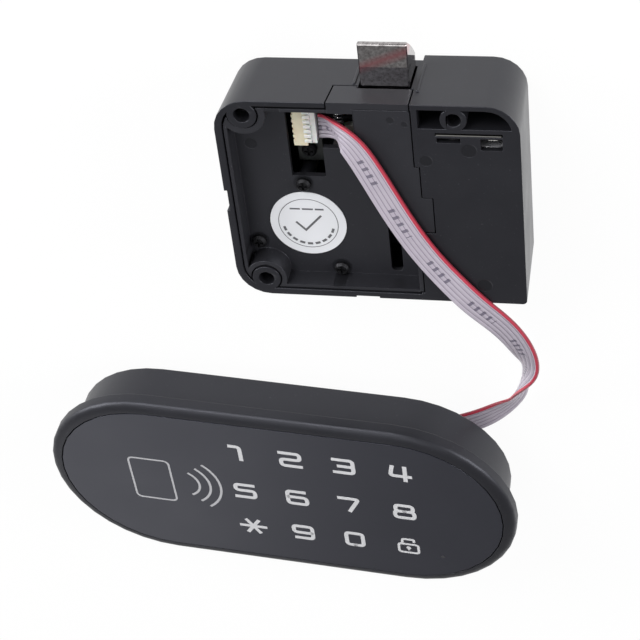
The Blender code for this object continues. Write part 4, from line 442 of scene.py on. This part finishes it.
def dress_nodes():
    """Join each solid's facets for smooth shading, round its sharp edges and give it its material."""
    for name, node in NODES.items():
        for extra in ("custom_normal", "sharp_edge"):
            if extra in node.data.attributes:
                node.data.attributes.remove(node.data.attributes[extra])
        node.data.shade_smooth()
        weld = node.modifiers.new("weld", "WELD")
        weld.merge_threshold = WELD_GAP
        if name in EDGE_ROUNDS:
            bevel = node.modifiers.new("edge_round", "BEVEL")
            bevel.width = EDGE_ROUNDS[name]
            bevel.segments = ROUND_SEGMENTS
            bevel.limit_method = "ANGLE"
            bevel.angle_limit = math.radians(ROUND_ANGLE)
            bevel.use_clamp_overlap = False
            node.modifiers.new("face_normals", "WEIGHTED_NORMAL").keep_sharp = True
        else:
            split = node.modifiers.new("sharp_edges", "EDGE_SPLIT")
            split.split_angle = math.radians(SHARP_ANGLE)
        key = NODE_MATERIALS.get(name) or GROUP_MATERIALS.get(name.rsplit("_", 1)[0])
        if key is None:
            continue
        node.data.materials.clear()
        node.data.materials.append(MATERIALS[key])


# Small shapes
def piece(name, mesh, material, body="base"):
    """One visual piece with its material, riding on a body."""
    obj = bpy.data.objects.new(name, mesh)
    bpy.context.scene.collection.objects.link(obj)
    mesh.materials.append(material)
    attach(obj, body)
    return obj


def mesh_of(bm, name, smooth=None):
    """Finished mesh, smooth shaded up to an edge angle in degrees where one is given."""
    mesh = bpy.data.meshes.new(name)
    bmesh.ops.recalc_face_normals(bm, faces=bm.faces)
    bm.to_mesh(mesh)
    bm.free()
    if smooth is not None:
        mesh.shade_smooth()
        mesh.set_sharp_from_angle(angle=math.radians(smooth))
    return mesh


# Least share that bounds the mitre of a stroke's corner, and the steps in height between crossing strokes
MITRE_LEAST = 0.35
LIFT_SHARE = 0.06
LIFT_LEVELS = 9
CORNERS_PER_PAIR = 8


def stroke(bm, points, width, thick, place, closed=False):
    """Flat ribbon of ink along a polyline, mitred at its corners, in the plane of a matrix."""
    count = len(points)
    flat = [Vector(point) for point in points]
    rims = []
    for index, point in enumerate(flat):
        before = flat[index - 1] if (index or closed) else None
        after = flat[(index + 1) % count] if (index < count - 1 or closed) else None
        sides = []
        for first, second in ((before, point), (point, after)):
            if first is not None and second is not None:
                step = (second - first).normalized()
                sides.append(Vector((-step.y, step.x)))
        mean = sum(sides, Vector((0.0, 0.0))).normalized()
        reach = width / 2 / max(MITRE_LEAST, mean.dot(sides[0]))
        grow = Vector((0.0, 0.0))
        if before is None:
            grow = (flat[0] - flat[1]).normalized() * width / 2
        if after is None:
            grow = (flat[-1] - flat[-2]).normalized() * width / 2
        rims.append((point + grow + mean * reach, point + grow - mean * reach))
    lift = thick * (1.0 + LIFT_SHARE * (len(bm.verts) // CORNERS_PER_PAIR % LIFT_LEVELS))
    rings = []
    for left, right in rims:
        rings.append([bm.verts.new(place @ Vector((*corner, height)))
                      for corner, height in ((left, lift), (right, lift), (right, 0.0), (left, 0.0))])
    following = rings[1:] + rings[:1] if closed else rings[1:]
    for first, second in zip(rings, following):
        for side in range(4):
            after = (side + 1) % 4
            bm.faces.new((first[side], first[after], second[after], second[side]))
    if not closed:
        bm.faces.new(rings[0][::-1])
        bm.faces.new(rings[-1])


def arc_points(centre, radius, start, end, count):
    """Points of an arc between two angles in degrees."""
    return [(centre[0] + radius * math.cos(math.radians(start + (end - start) * step / count)),
             centre[1] + radius * math.sin(math.radians(start + (end - start) * step / count)))
            for step in range(count + 1)]


def arc_through(top, bottom, bulge, count):
    """Arc from the top point to the bottom point that reaches the bulge's x."""
    middle_y = (top[1] + bottom[1]) / 2
    half = (top[1] - bottom[1]) / 2
    rise = bulge - top[0]
    radius = (half * half + rise * rise) / (2 * rise)
    centre = (bulge - radius, middle_y)
    angle = math.degrees(math.asin(half / radius))
    return arc_points(centre, radius, angle, -angle, count)


def rounded_rect(left, right, low, high, radius, count=5):
    """Outline of a rectangle with rounded corners."""
    points = []
    for x, y, start in ((right - radius, high - radius, 0), (left + radius, high - radius, 90),
                        (left + radius, low + radius, 180), (right - radius, low + radius, 270)):
        points.extend(arc_points((x, y), radius, start, start + 90, count))
    return points


def cube(bm, place, low, high):
    """Box between two corners in the plane of a matrix."""
    corners = [bm.verts.new(place @ Vector((x, y, z)))
               for z in (low[2], high[2]) for y in (low[1], high[1]) for x in (low[0], high[0])]
    for face in ((0, 2, 3, 1), (4, 5, 7, 6), (0, 1, 5, 4), (2, 6, 7, 3), (0, 4, 6, 2), (1, 3, 7, 5)):
        bm.faces.new([corners[index] for index in face])


def disc(bm, place, centre, radius, low, high, count):
    """Round plate in the plane of a matrix."""
    rim = arc_points(centre, radius, 0, 360, count)[:-1]
    top = [bm.verts.new(place @ Vector((x, y, high))) for x, y in rim]
    bottom = [bm.verts.new(place @ Vector((x, y, low))) for x, y in rim]
    bm.faces.new(top)
    bm.faces.new(bottom[::-1])
    for index in range(count):
        after = (index + 1) % count
        bm.faces.new((top[index], bottom[index], bottom[after], top[after]))


MM = 0.001


def scaled(points):
    """Points given in millimetres, in metres."""
    return [(x * MM, y * MM) for x, y in points]


# Thickness of all prints in metres
INK = 0.00004

# Keypad legends in millimetres from the face's centre: columns, rows, size, line width and corner share
KEY_LEFT = (-13.5, 2.5, 18.5, 35.0)
KEY_LOW = (15.0, -3.0, -20.0)
KEY_SIZE = 7.0
KEY_WIDTH = 1.25
CORNER = 0.2

# Star in millimetres from its key's corner: centre, each line's angle and reach, and the line width
STAR_CENTRE = (3.75, 3.25)
STAR_LINES = ((0, 3.75), (58, 3.3), (-58, 3.3))
STAR_WIDTH = 1.15

# Open padlock in millimetres from its key's corner
PADLOCK_BODY = (0.5, 6.5, 0.5, 4.6)
PADLOCK_RADIUS = 0.9
PADLOCK_WIDTH = 0.8
SHACKLE = ((1.7, 4.9), (1.7, 7.0), (5.3, 7.0), (5.3, 6.1))
SHACKLE_RADIUS = 1.1
KEYHOLE = (3.5, 2.8)
KEYHOLE_RADIUS = 0.7
KEYHOLE_FOOT = 1.9
KEYHOLE_WIDTH = 0.5

# Card symbol in millimetres from the face's centre, where each arc has its top, its bottom and its bulge
CARD = (-45.5, -32.8, -9.0, 10.0, 1.6)
CARD_WIDTH = 0.6
SIGNAL_ARCS = (
    ((-27.0, 5.5), (-27.0, -4.5), -24.3), ((-24.5, 8.0), (-24.5, -7.0), -20.9),
    ((-22.0, 10.2), (-22.0, -9.2), -17.6),
)
SIGNAL_WIDTH = 0.75

# Status window in millimetres from the face's centre
WINDOW_PLACE = (48.8, -19.4)
WINDOW_RADIUS = 0.6

# Strokes of each squared numeral in a unit cell
GLYPHS = {
    "1": [[(0.15, 1.0), (0.64, 1.0), (0.64, 0.0)]],
    "2": [[(0.0, 1.0), (1.0, 1.0), (1.0, 0.5), (0.0, 0.5), (0.0, 0.0), (1.0, 0.0)]],
    "3": [[(0.0, 1.0), (0.97, 1.0), (0.97, 0.0), (0.0, 0.0)], [(0.25, 0.5), (0.9, 0.5)]],
    "4": [[(0.12, 1.0), (0.0, 0.3), (1.0, 0.3)], [(0.76, 1.0), (0.76, 0.0)]],
    "5": [[(0.95, 1.0), (0.0, 1.0), (0.0, 0.54), (1.0, 0.54), (1.0, 0.0), (0.0, 0.0)]],
    "6": [[(0.9, 1.0), (0.0, 1.0), (0.0, 0.0), (1.0, 0.0), (1.0, 0.54), (0.05, 0.54)]],
    "7": [[(0.0, 1.0), (1.0, 1.0), (0.5, 0.0)]],
    "8": [[(0.5, 0.52), (0.05, 0.52), (0.05, 1.0), (0.95, 1.0), (0.95, 0.52), (0.5, 0.52)],
          [(0.5, 0.52), (0.0, 0.52), (0.0, 0.0), (1.0, 0.0), (1.0, 0.52), (0.5, 0.52)]],
    "9": [[(0.95, 0.46), (0.0, 0.46), (0.0, 1.0), (1.0, 1.0), (1.0, 0.0), (0.1, 0.0)]],
    "0": [[(0.5, 0.0), (0.06, 0.0), (0.06, 1.0), (0.94, 1.0), (0.94, 0.0), (0.5, 0.0)]],
}

KEY_ROWS = (("1", "2", "3", "4"), ("5", "6", "7", "8"), ("*", "9", "0", "lock"))


# Largest share of a line that a softened corner may take
SOFT_SHARE = 0.45


def softened(points, radius, count=4):
    """Polyline with each inner corner drawn as a short curve."""
    flat = [Vector(point) for point in points]
    soft = [flat[0]]
    for before, corner, after in zip(flat, flat[1:], flat[2:]):
        reach = min(radius, (before - corner).length * SOFT_SHARE, (after - corner).length * SOFT_SHARE)
        start = corner + (before - corner).normalized() * reach
        end = corner + (after - corner).normalized() * reach
        for step in range(count + 1):
            share = step / count
            soft.append(start * (1 - share) ** 2 + corner * (2 * share * (1 - share)) + end * share ** 2)
    soft.append(flat[-1])
    return [tuple(point) for point in soft]


def keypad_legends(pad):
    """Numerals, star and open padlock on the touch face."""
    ink = print_ink("legend_ink", (0.62, 0.62, 0.64))
    for row, names in enumerate(KEY_ROWS):
        for column, name in enumerate(names):
            left = KEY_LEFT[column]
            low = KEY_LOW[row]
            bm = bmesh.new()
            inset = KEY_WIDTH / 2
            title = "legend_" + name
            if name == "*":
                centre = (left + STAR_CENTRE[0], low + STAR_CENTRE[1])
                for angle, reach in STAR_LINES:
                    arm = [(centre[0] + reach * math.cos(math.radians(angle + turn)),
                            centre[1] + reach * math.sin(math.radians(angle + turn))) for turn in (0, 180)]
                    stroke(bm, scaled(arm), STAR_WIDTH * MM, INK, pad)
                title = "legend_star"
            elif name == "lock":
                padlock(bm, left, low, pad)
                title = "legend_padlock"
            else:
                size = KEY_SIZE - KEY_WIDTH
                for line in GLYPHS[name]:
                    points = [(left + inset + x * size, low + inset + y * size) for x, y in line]
                    stroke(bm, scaled(softened(points, CORNER * size)), KEY_WIDTH * MM, INK, pad)
            piece(title, mesh_of(bm, title), ink)


def padlock(bm, left, low, pad):
    """Open padlock drawn from its key's corner."""
    body_left, body_right, body_low, body_high = PADLOCK_BODY
    body = rounded_rect(left + body_left, left + body_right, low + body_low, low + body_high, PADLOCK_RADIUS)
    stroke(bm, scaled(body), PADLOCK_WIDTH * MM, INK, pad, True)
    shackle = [(left + x, low + y) for x, y in SHACKLE]
    stroke(bm, scaled(softened(shackle, SHACKLE_RADIUS)), PADLOCK_WIDTH * MM, INK, pad)
    hole_x = left + KEYHOLE[0]
    hole_y = low + KEYHOLE[1]
    disc(bm, pad, (hole_x * MM, hole_y * MM), KEYHOLE_RADIUS * MM, 0.0, INK, 16)
    stroke(bm, scaled([(hole_x, hole_y), (hole_x, low + KEYHOLE_FOOT)]), KEYHOLE_WIDTH * MM, INK, pad)


def card_symbol(pad):
    """Card outline and three signal arcs on the touch face."""
    ink = print_ink("symbol_ink", (0.46, 0.46, 0.48))
    bm = bmesh.new()
    stroke(bm, scaled(rounded_rect(*CARD)), CARD_WIDTH * MM, INK, pad, True)
    piece("card_outline", mesh_of(bm, "card_outline"), ink)
    bm = bmesh.new()
    for top, bottom, bulge in SIGNAL_ARCS:
        stroke(bm, scaled(arc_through(top, bottom, bulge, 14)), SIGNAL_WIDTH * MM, INK, pad)
    piece("signal_arcs", mesh_of(bm, "signal_arcs"), ink)


def status_window(pad):
    """Small tinted window of the status light."""
    tint = Paint("window_tint").set(Roughness=0.22, Coat_Weight=0.5)
    dots = tint.span(tint.voronoi(4200.0), 0.1, 0.35)
    tone = tint.mix(dots, (0.05, 0.05, 0.055), (0.025, 0.025, 0.03))
    material = tint.finish(tone, None, tint.bump(dots, 0.2, 0.00001))
    bm = bmesh.new()
    disc(bm, pad, (WINDOW_PLACE[0] * MM, WINDOW_PLACE[1] * MM), WINDOW_RADIUS * MM, 0.0, INK, 20)
    piece("status_window", mesh_of(bm, "status_window"), material)


# Seal's ring, dashes, check mark and bars as shares of its radius, with line widths in metres
RING_SHARE = 0.78
RING_WIDTH = 0.00018
DASH_SHARE = 0.66
DASH_WIDTH = 0.0007
DASH_ANGLES = tuple(198 + step * 18 for step in range(9))
DASH_BEFORE = 4
DASH_AFTER = 2
CHECK = ((-0.3, 0.02), (-0.08, -0.22), (0.34, 0.24))
CHECK_WIDTH = 0.0006
BARS = ((-0.42, -0.2), (-0.1, 0.14), (0.24, 0.42))
BAR_LEVEL = 0.46
BAR_WIDTH = 0.0005


def seal_marks():
    """Printed ring, dashes, bars and check mark on the paper seal."""
    seal = NODES["inspection_seal"]
    box = [Vector(corner) for corner in seal.bound_box]
    centre = sum(box, Vector()) / len(box)
    top = max(corner.z for corner in box)
    radius = (max(corner.x for corner in box) - min(corner.x for corner in box)) / 2
    place = Matrix.Translation((centre.x, centre.y, top))
    ink = print_ink("seal_ink", (0.12, 0.12, 0.13))
    bm = bmesh.new()
    stroke(bm, arc_points((0.0, 0.0), radius * RING_SHARE, 0, 360, 64)[:-1], RING_WIDTH, INK, place, True)
    piece("seal_ring", mesh_of(bm, "seal_ring"), ink)
    bm = bmesh.new()
    for angle in DASH_ANGLES:
        dash = arc_points((0.0, 0.0), radius * DASH_SHARE, angle - DASH_BEFORE, angle + DASH_AFTER, 3)
        stroke(bm, dash, DASH_WIDTH, INK, place)
    piece("seal_dashes", mesh_of(bm, "seal_dashes"), ink)
    bm = bmesh.new()
    stroke(bm, [(radius * x, radius * y) for x, y in CHECK], CHECK_WIDTH, INK, place)
    for start, end in BARS:
        bar = [(radius * start, radius * BAR_LEVEL), (radius * end, radius * BAR_LEVEL)]
        stroke(bm, bar, BAR_WIDTH, INK, place)
    piece("seal_check", mesh_of(bm, "seal_check"), ink)


# Plug teeth: number, face, half width as a share of the pitch, reach behind, ahead, below and above, round
TEETH = 7
PLUG_FACE_X = 0.01818
TOOTH_SHARE = 0.33
TOOTH_BEHIND = 0.0008
TOOTH_AHEAD = 0.0012
TOOTH_BELOW = 0.0002
TOOTH_ABOVE = 0.00045
TOOTH_ROUND = 0.0002

# Brass tabs of the header: places in y, half width, and range in x from the header and in z
HEADER_TAB_Y = (0.07575, 0.0763)
HEADER_TAB_HALF = 0.00013
HEADER_TAB_X = (0.0004, 0.0026)
HEADER_TAB_Z = (0.0186, 0.01905)
HEADER_TAB_ROUND = 0.00006

# Contact tabs in the battery block: centre in x and y and half length, then half width, range in z and round
CONTACT_TABS = ((0.0665, 0.0703, 0.0013), (0.0657, 0.0680, 0.0009))
CONTACT_TAB_HALF = 0.00016
CONTACT_TAB_Z = (0.0219, 0.02235)
CONTACT_TAB_ROUND = 0.00014


def connector_details():
    """Teeth of the plug, tabs of the header and contact tabs of the battery block."""
    low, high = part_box("cable_plug")
    edge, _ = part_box("pcb_header")
    bm = bmesh.new()
    place = Matrix.Identity(4)
    pitch = (high[1] - low[1]) / TEETH
    for index in range(TEETH):
        y = low[1] + pitch * (index + 0.5)
        cube(bm, place, (PLUG_FACE_X - TOOTH_BEHIND, y - pitch * TOOTH_SHARE, high[2] - TOOTH_BELOW),
             (PLUG_FACE_X + TOOTH_AHEAD, y + pitch * TOOTH_SHARE, high[2] + TOOTH_ABOVE))
    teeth = piece("plug_teeth", mesh_of(bm, "plug_teeth"), MATERIALS["white_nylon"])
    soften(teeth, TOOTH_ROUND)
    bm = bmesh.new()
    for y in HEADER_TAB_Y:
        cube(bm, place, (edge[0] + HEADER_TAB_X[0], y - HEADER_TAB_HALF, HEADER_TAB_Z[0]),
             (edge[0] + HEADER_TAB_X[1], y + HEADER_TAB_HALF, HEADER_TAB_Z[1]))
    tabs = piece("header_tabs", mesh_of(bm, "header_tabs"), MATERIALS["brass"])
    soften(tabs, HEADER_TAB_ROUND)
    bm = bmesh.new()
    for x, y, reach in CONTACT_TABS:
        cube(bm, place, (x - reach, y - CONTACT_TAB_HALF, CONTACT_TAB_Z[0]),
             (x + reach, y + CONTACT_TAB_HALF, CONTACT_TAB_Z[1]))
    tabs = piece("contact_tabs", mesh_of(bm, "contact_tabs"), MATERIALS["contact_plate"])
    soften(tabs, CONTACT_TAB_ROUND)


SOFT_SEGMENTS = 3


def soften(obj, width):
    """Rounded edges and smooth shading for a small part."""
    obj.data.shade_smooth()
    bevel = obj.modifiers.new("edge_round", "BEVEL")
    bevel.width = width
    bevel.segments = SOFT_SEGMENTS
    obj.modifiers.new("face_normals", "WEIGHTED_NORMAL")


# Ribbon route: place in metres from the lock's corner and the red edge's roll in degrees
RIBBON_ROUTE = (
    (0.0252, 0.05005, 0.016975, 0), (0.0261, 0.05005, 0.016975, 0), (0.0279, 0.05040, 0.017500, 0),
    (0.0299, 0.05120, 0.019900, 0), (0.0314, 0.05190, 0.023200, 4), (0.0341, 0.05180, 0.025800, 9),
    (0.0372, 0.04800, 0.026300, 11), (0.0420, 0.03670, 0.026300, -3), (0.0473, 0.02450, 0.026300, 4),
    (0.0533, 0.01400, 0.026300, 4), (0.0584, 0.00730, 0.026300, -1), (0.0640, 0.00000, 0.026600, -5),
    (0.0692, -0.00600, 0.025100, -2), (0.0740, -0.01390, 0.023200, 2), (0.0767, -0.02350, 0.020400, 14),
    (0.0764, -0.03140, 0.016400, 42), (0.0743, -0.03860, 0.011500, 80), (0.0722, -0.04620, 0.008300, 117),
    (0.0717, -0.05290, 0.004800, 140), (0.0662, -0.05840, 0.004100, 160), (0.0605, -0.06340, 0.004200, 182),
    (0.0480, -0.06900, 0.003500, 182), (0.0400, -0.07130, 0.003000, 180), (0.0345, -0.07240, 0.003100, 180),
    (0.0308, -0.07290, 0.004600, 180),
)

# Where the ribbon enters the keypad, across its face, with the depths of its last run
EXIT_X = 0.025
EXIT_Y = 0.005
KEYPAD_RUN = (-0.0211, -0.0157, -0.0148)

# Section: width, thickness, conductors, points on each, and web thickness share, thinner where the wires part
RIBBON_WIDTH = 0.0076
RIBBON_THICKNESS = 0.0009
CONDUCTORS = 6
LOBE_POINTS = 5
WEB_SHARE = 0.62
PARTED_SHARE = 0.12
PARTED_LENGTH = 0.0045

# Evening out: sections for each leg of the route, passes, and sections kept as they are at both ends
STEPS = 8
CENTRE_PASSES = 44
LIE_PASSES = 130
KEPT_START = 12
KEPT_END = 20

# Least level share of a run's direction that still sets its side
LEVEL_LEAST = 0.35

# Edge angle in degrees up to which the ribbon is shaded smooth
RIBBON_SMOOTH = 50

# Share of the width coordinate that the printed side takes up, just under one
SIDE_SHARE = 0.999


def smooth_points(points, steps):
    """Catmull-Rom curve through the points, which may have any number of values each."""
    padded = [points[0], *points, points[-1]]
    curve = []
    for before, start, end, after in zip(padded, padded[1:], padded[2:], padded[3:]):
        for index in range(steps):
            t = index / steps
            curve.append([0.5 * (2 * b + (c - a) * t + (2 * a - 5 * b + 4 * c - d) * t * t
                                 + (3 * b - a - 3 * c + d) * t ** 3)
                          for a, b, c, d in zip(before, start, end, after)])
    curve.append(list(points[-1]))
    return curve


def eased(values, passes):
    """Even out a row of vectors between its two kept ends."""
    values = [value.copy() for value in values]
    for _ in range(passes):
        neighbours = zip(values[KEPT_START - 1:], values[KEPT_START:], values[KEPT_START + 1:])
        middle = [(before + here * 2 + after) / 4 for before, here, after in neighbours]
        middle = middle[:len(values) - KEPT_START - KEPT_END]
        values[KEPT_START:KEPT_START + len(middle)] = middle
    return values


def ribbon_profile(web):
    """Half-width share, half-thickness share and width share of each point round the lobed section."""
    upper = []
    for lobe in range(CONDUCTORS):
        for step in range(LOBE_POINTS):
            across = (lobe + step / LOBE_POINTS) / CONDUCTORS
            rise = web + (1 - web) * math.sin(math.pi * step / LOBE_POINTS)
            upper.append((1 - 2 * across, rise, across))
    upper.append((-1.0, web, 1.0))
    lower = [(x, -rise, share) for x, rise, share in reversed(upper)]
    return upper + lower


# Plain marks printed along the ribbon
DASHES_PER_METRE = 420.0
GROUPS_PER_METRE = 56.0


def ribbon_material():
    """Six moulded conductors: one red edge, grey ones with fine draw lines, and painted shade darkening the
    creases between them.
    """
    paint = Paint("ribbon_vinyl").set(Coat_Weight=0.15, Coat_Roughness=0.3)
    place, along, _ = paint.uv()
    across = paint.math("FRACT", place)
    printed = paint.math("LESS_THAN", place, 1.0)
    wire = paint.math("FRACT", paint.math("MULTIPLY", across, float(CONDUCTORS)))
    web = paint.math("MULTIPLY", paint.math("ABSOLUTE", paint.math("SUBTRACT", wire, 0.5)), 2.0)
    # Painted shade: the creases where the lobes meet are darkened, on the grey wires and the red one alike
    crease_shade = paint.span(web, 0.8, 1.0)
    cloud = paint.noise(240.0, 3.0, 0.6)
    grey = paint.mix(cloud, (0.36, 0.325, 0.385), (0.45, 0.41, 0.47))
    grey = paint.mix(crease_shade, grey, (0.12, 0.09, 0.14))
    edge = paint.math("LESS_THAN", across, 0.1)
    red = paint.mix(crease_shade, (0.44, 0.035, 0.065), (0.25, 0.02, 0.035))
    tone = paint.mix(edge, grey, red)
    dash_row = paint.math("COMPARE", across, 0.55, 0.13)
    dash = paint.math("LESS_THAN", paint.math("FRACT", paint.math("MULTIPLY", along, DASHES_PER_METRE)), 0.4)
    gap = paint.math("LESS_THAN", paint.math("FRACT", paint.math("MULTIPLY", along, GROUPS_PER_METRE)), 0.55)
    dashes = paint.math("MULTIPLY", paint.math("MULTIPLY", dash_row, dash), gap)
    mark = paint.math("MULTIPLY", dashes, printed)
    tone = paint.mix(paint.math("MULTIPLY", mark, 0.75), tone, (0.06, 0.05, 0.09))
    shine = paint.span(cloud, 0.3, 0.7, 0.36, 0.5)
    return paint.finish(tone, shine, paint.bump(paint.noise(4200.0, 2.0, 0.5), 0.15, 0.00001))


def make_ribbon(pad):
    """Lobed ribbon of six wires swept from the plug in the lock to the socket in the keypad."""
    route = [(x + LOCK_CORNER.x, y + LOCK_CORNER.y, z, roll) for x, y, z, roll in RIBBON_ROUTE]
    for depth in KEYPAD_RUN:
        route.append((*(pad @ Vector((EXIT_X, EXIT_Y, depth))), 180))
    curve = smooth_points(route, STEPS)
    centres = eased([Vector(point[:3]) for point in curve], CENTRE_PASSES)
    profile = ribbon_profile(WEB_SHARE)
    parted = ribbon_profile(PARTED_SHARE)
    bm = bmesh.new()
    layer = bm.loops.layers.uv.new("uv")
    side = Vector((0.0, 1.0, 0.0))
    rings = []
    travel = 0.0
    runs = []
    travels = []
    for index, centre in enumerate(centres):
        along = (centres[min(index + 1, len(centres) - 1)] - centres[max(index - 1, 0)]).normalized()
        level = Vector((-along.y, along.x, 0.0))
        if level.length > LEVEL_LEAST:
            side = level.normalized()
        flat = (side - along * side.dot(along)).normalized()
        upright = along.cross(flat)
        roll = math.radians(curve[index][3])
        runs.append((along, flat * math.cos(roll) + upright * math.sin(roll)))
    lie = eased([across for _, across in runs], LIE_PASSES)
    for index, centre in enumerate(centres):
        along = runs[index][0]
        across = (lie[index] - along * lie[index].dot(along)).normalized()
        normal = along.cross(across)
        section = parted if travel < PARTED_LENGTH else profile
        ring = []
        for x, rise, _ in section:
            point = centre + across * (RIBBON_WIDTH / 2 * x) + normal * (RIBBON_THICKNESS / 2 * rise)
            ring.append(bm.verts.new(point))
        rings.append(ring)
        if index:
            travel += (centre - centres[index - 1]).length
        travels.append(travel)
    size = len(profile)
    for index in range(len(rings) - 1):
        for corner_index in range(size):
            after = (corner_index + 1) % size
            face = bm.faces.new((rings[index][corner_index], rings[index][after],
                                 rings[index + 1][after], rings[index + 1][corner_index]))
            for loop, (place, run) in zip(face.loops, ((corner_index, index), (after, index),
                                                       (after, index + 1), (corner_index, index + 1))):
                under = corner_index > size / 2 - 1
                loop[layer].uv = (profile[place][2] * SIDE_SHARE + under, travels[run])
    bm.faces.new(rings[0][::-1])
    bm.faces.new(rings[-1])
    ribbon = piece("ribbon_wires", mesh_of(bm, "ribbon_wires", RIBBON_SMOOTH), ribbon_material())
    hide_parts("ribbon_cable")


# Floor's half size, its level, and the share of white that the camera and mirrors see in it
FLOOR_REACH = 3.0
FLOOR_LEVEL = -0.0002
FLOOR_GLOW = 0.95

# Strength of the world's light
WORLD_LEVEL = 0.3

# Lamps: name, place, aim, width and height in metres, and watts
LAMPS = (
    ("key_lamp", (-0.40, 0.85, 0.60), (0.0, 0.0, 0.0), (0.5, 0.5), 7.0),
    ("side_lamp", (0.85, 0.25, 0.35), (0.0, 0.0, 0.02), (0.4, 0.4), 6.5),
    ("left_lamp", (-0.9, 0.35, 0.3), (0.0, 0.0, 0.02), (0.4, 0.4), 7.5),
    ("top_lamp", (-0.1, 0.3, 1.1), (0.0, 0.0, 0.0), (0.6, 0.6), 2.2),
    ("low_panel", (-0.60, -0.90, 0.56), (-0.02, -0.06, 0.02), (0.6, 0.5), 0.8),
)


def make_stage():
    """Pale floor that is clear from below."""
    paint = Paint("floor_white").set(Roughness=0.9)
    cloud = paint.noise(6.0, 2.0, 0.5)
    tone = paint.mix(cloud, (0.86, 0.86, 0.86), (0.9, 0.9, 0.9))
    paint.finish(tone)
    tree = paint.tree
    rays = tree.nodes.new("ShaderNodeLightPath")
    through = paint.math("MAXIMUM", rays.outputs["Is Glossy Ray"], rays.outputs["Is Transmission Ray"])
    seen = paint.math("MAXIMUM", rays.outputs["Is Camera Ray"], through)
    glow = tree.nodes.new("ShaderNodeEmission")
    glow.inputs["Color"].default_value = (1.0, 1.0, 1.0, 1.0)
    glow.inputs["Strength"].default_value = 1.0
    mixer = tree.nodes.new("ShaderNodeMixShader")
    tree.links.new(paint.math("MULTIPLY", seen, FLOOR_GLOW), mixer.inputs["Fac"])
    tree.links.new(paint.shader.outputs["BSDF"], mixer.inputs[1])
    tree.links.new(glow.outputs["Emission"], mixer.inputs[2])
    below = tree.nodes.new("ShaderNodeNewGeometry")
    clear = tree.nodes.new("ShaderNodeBsdfTransparent")
    sided = tree.nodes.new("ShaderNodeMixShader")
    tree.links.new(below.outputs["Backfacing"], sided.inputs["Fac"])
    tree.links.new(mixer.outputs["Shader"], sided.inputs[1])
    tree.links.new(clear.outputs["BSDF"], sided.inputs[2])
    tree.links.new(sided.outputs["Shader"], tree.nodes["Material Output"].inputs["Surface"])
    bm = bmesh.new()
    corners = [bm.verts.new(Vector((x * FLOOR_REACH, y * FLOOR_REACH, FLOOR_LEVEL)))
               for x, y in ((-1, -1), (1, -1), (1, 1), (-1, 1))]
    bm.faces.new(corners)
    mesh = bpy.data.meshes.new("floor")
    bm.to_mesh(mesh)
    bm.free()
    mesh.materials.append(paint.material)
    floor = bpy.data.objects.new("floor", mesh)
    bpy.context.scene.collection.objects.link(floor)


def make_world():
    """Even white world."""
    world = bpy.data.worlds.new("world")
    world.use_nodes = True
    bpy.context.scene.world = world
    backdrop = world.node_tree.nodes["Background"]
    backdrop.inputs["Color"].default_value = (1.0, 1.0, 1.0, 1.0)
    backdrop.inputs["Strength"].default_value = WORLD_LEVEL


def lamp(name, place, target, size, power):
    """Soft rectangular lamp aimed at a point."""
    data = bpy.data.lights.new(name, "AREA")
    data.shape = "RECTANGLE"
    data.size = size[0]
    data.size_y = size[1]
    data.energy = power
    obj = bpy.data.objects.new(name, data)
    obj.location = place
    direction = Vector(target) - Vector(place)
    obj.rotation_euler = direction.to_track_quat("-Z", "Y").to_euler()
    bpy.context.scene.collection.objects.link(obj)


scene = bpy.context.scene
scene.view_settings.view_transform = "Standard"
make_camera()
pad = keypad_frame()
make_ribbon(pad)
dress_nodes()
keypad_legends(pad)
card_symbol(pad)
status_window(pad)
seal_marks()
connector_details()
make_stage()
make_world()
for settings in LAMPS:
    lamp(*settings)
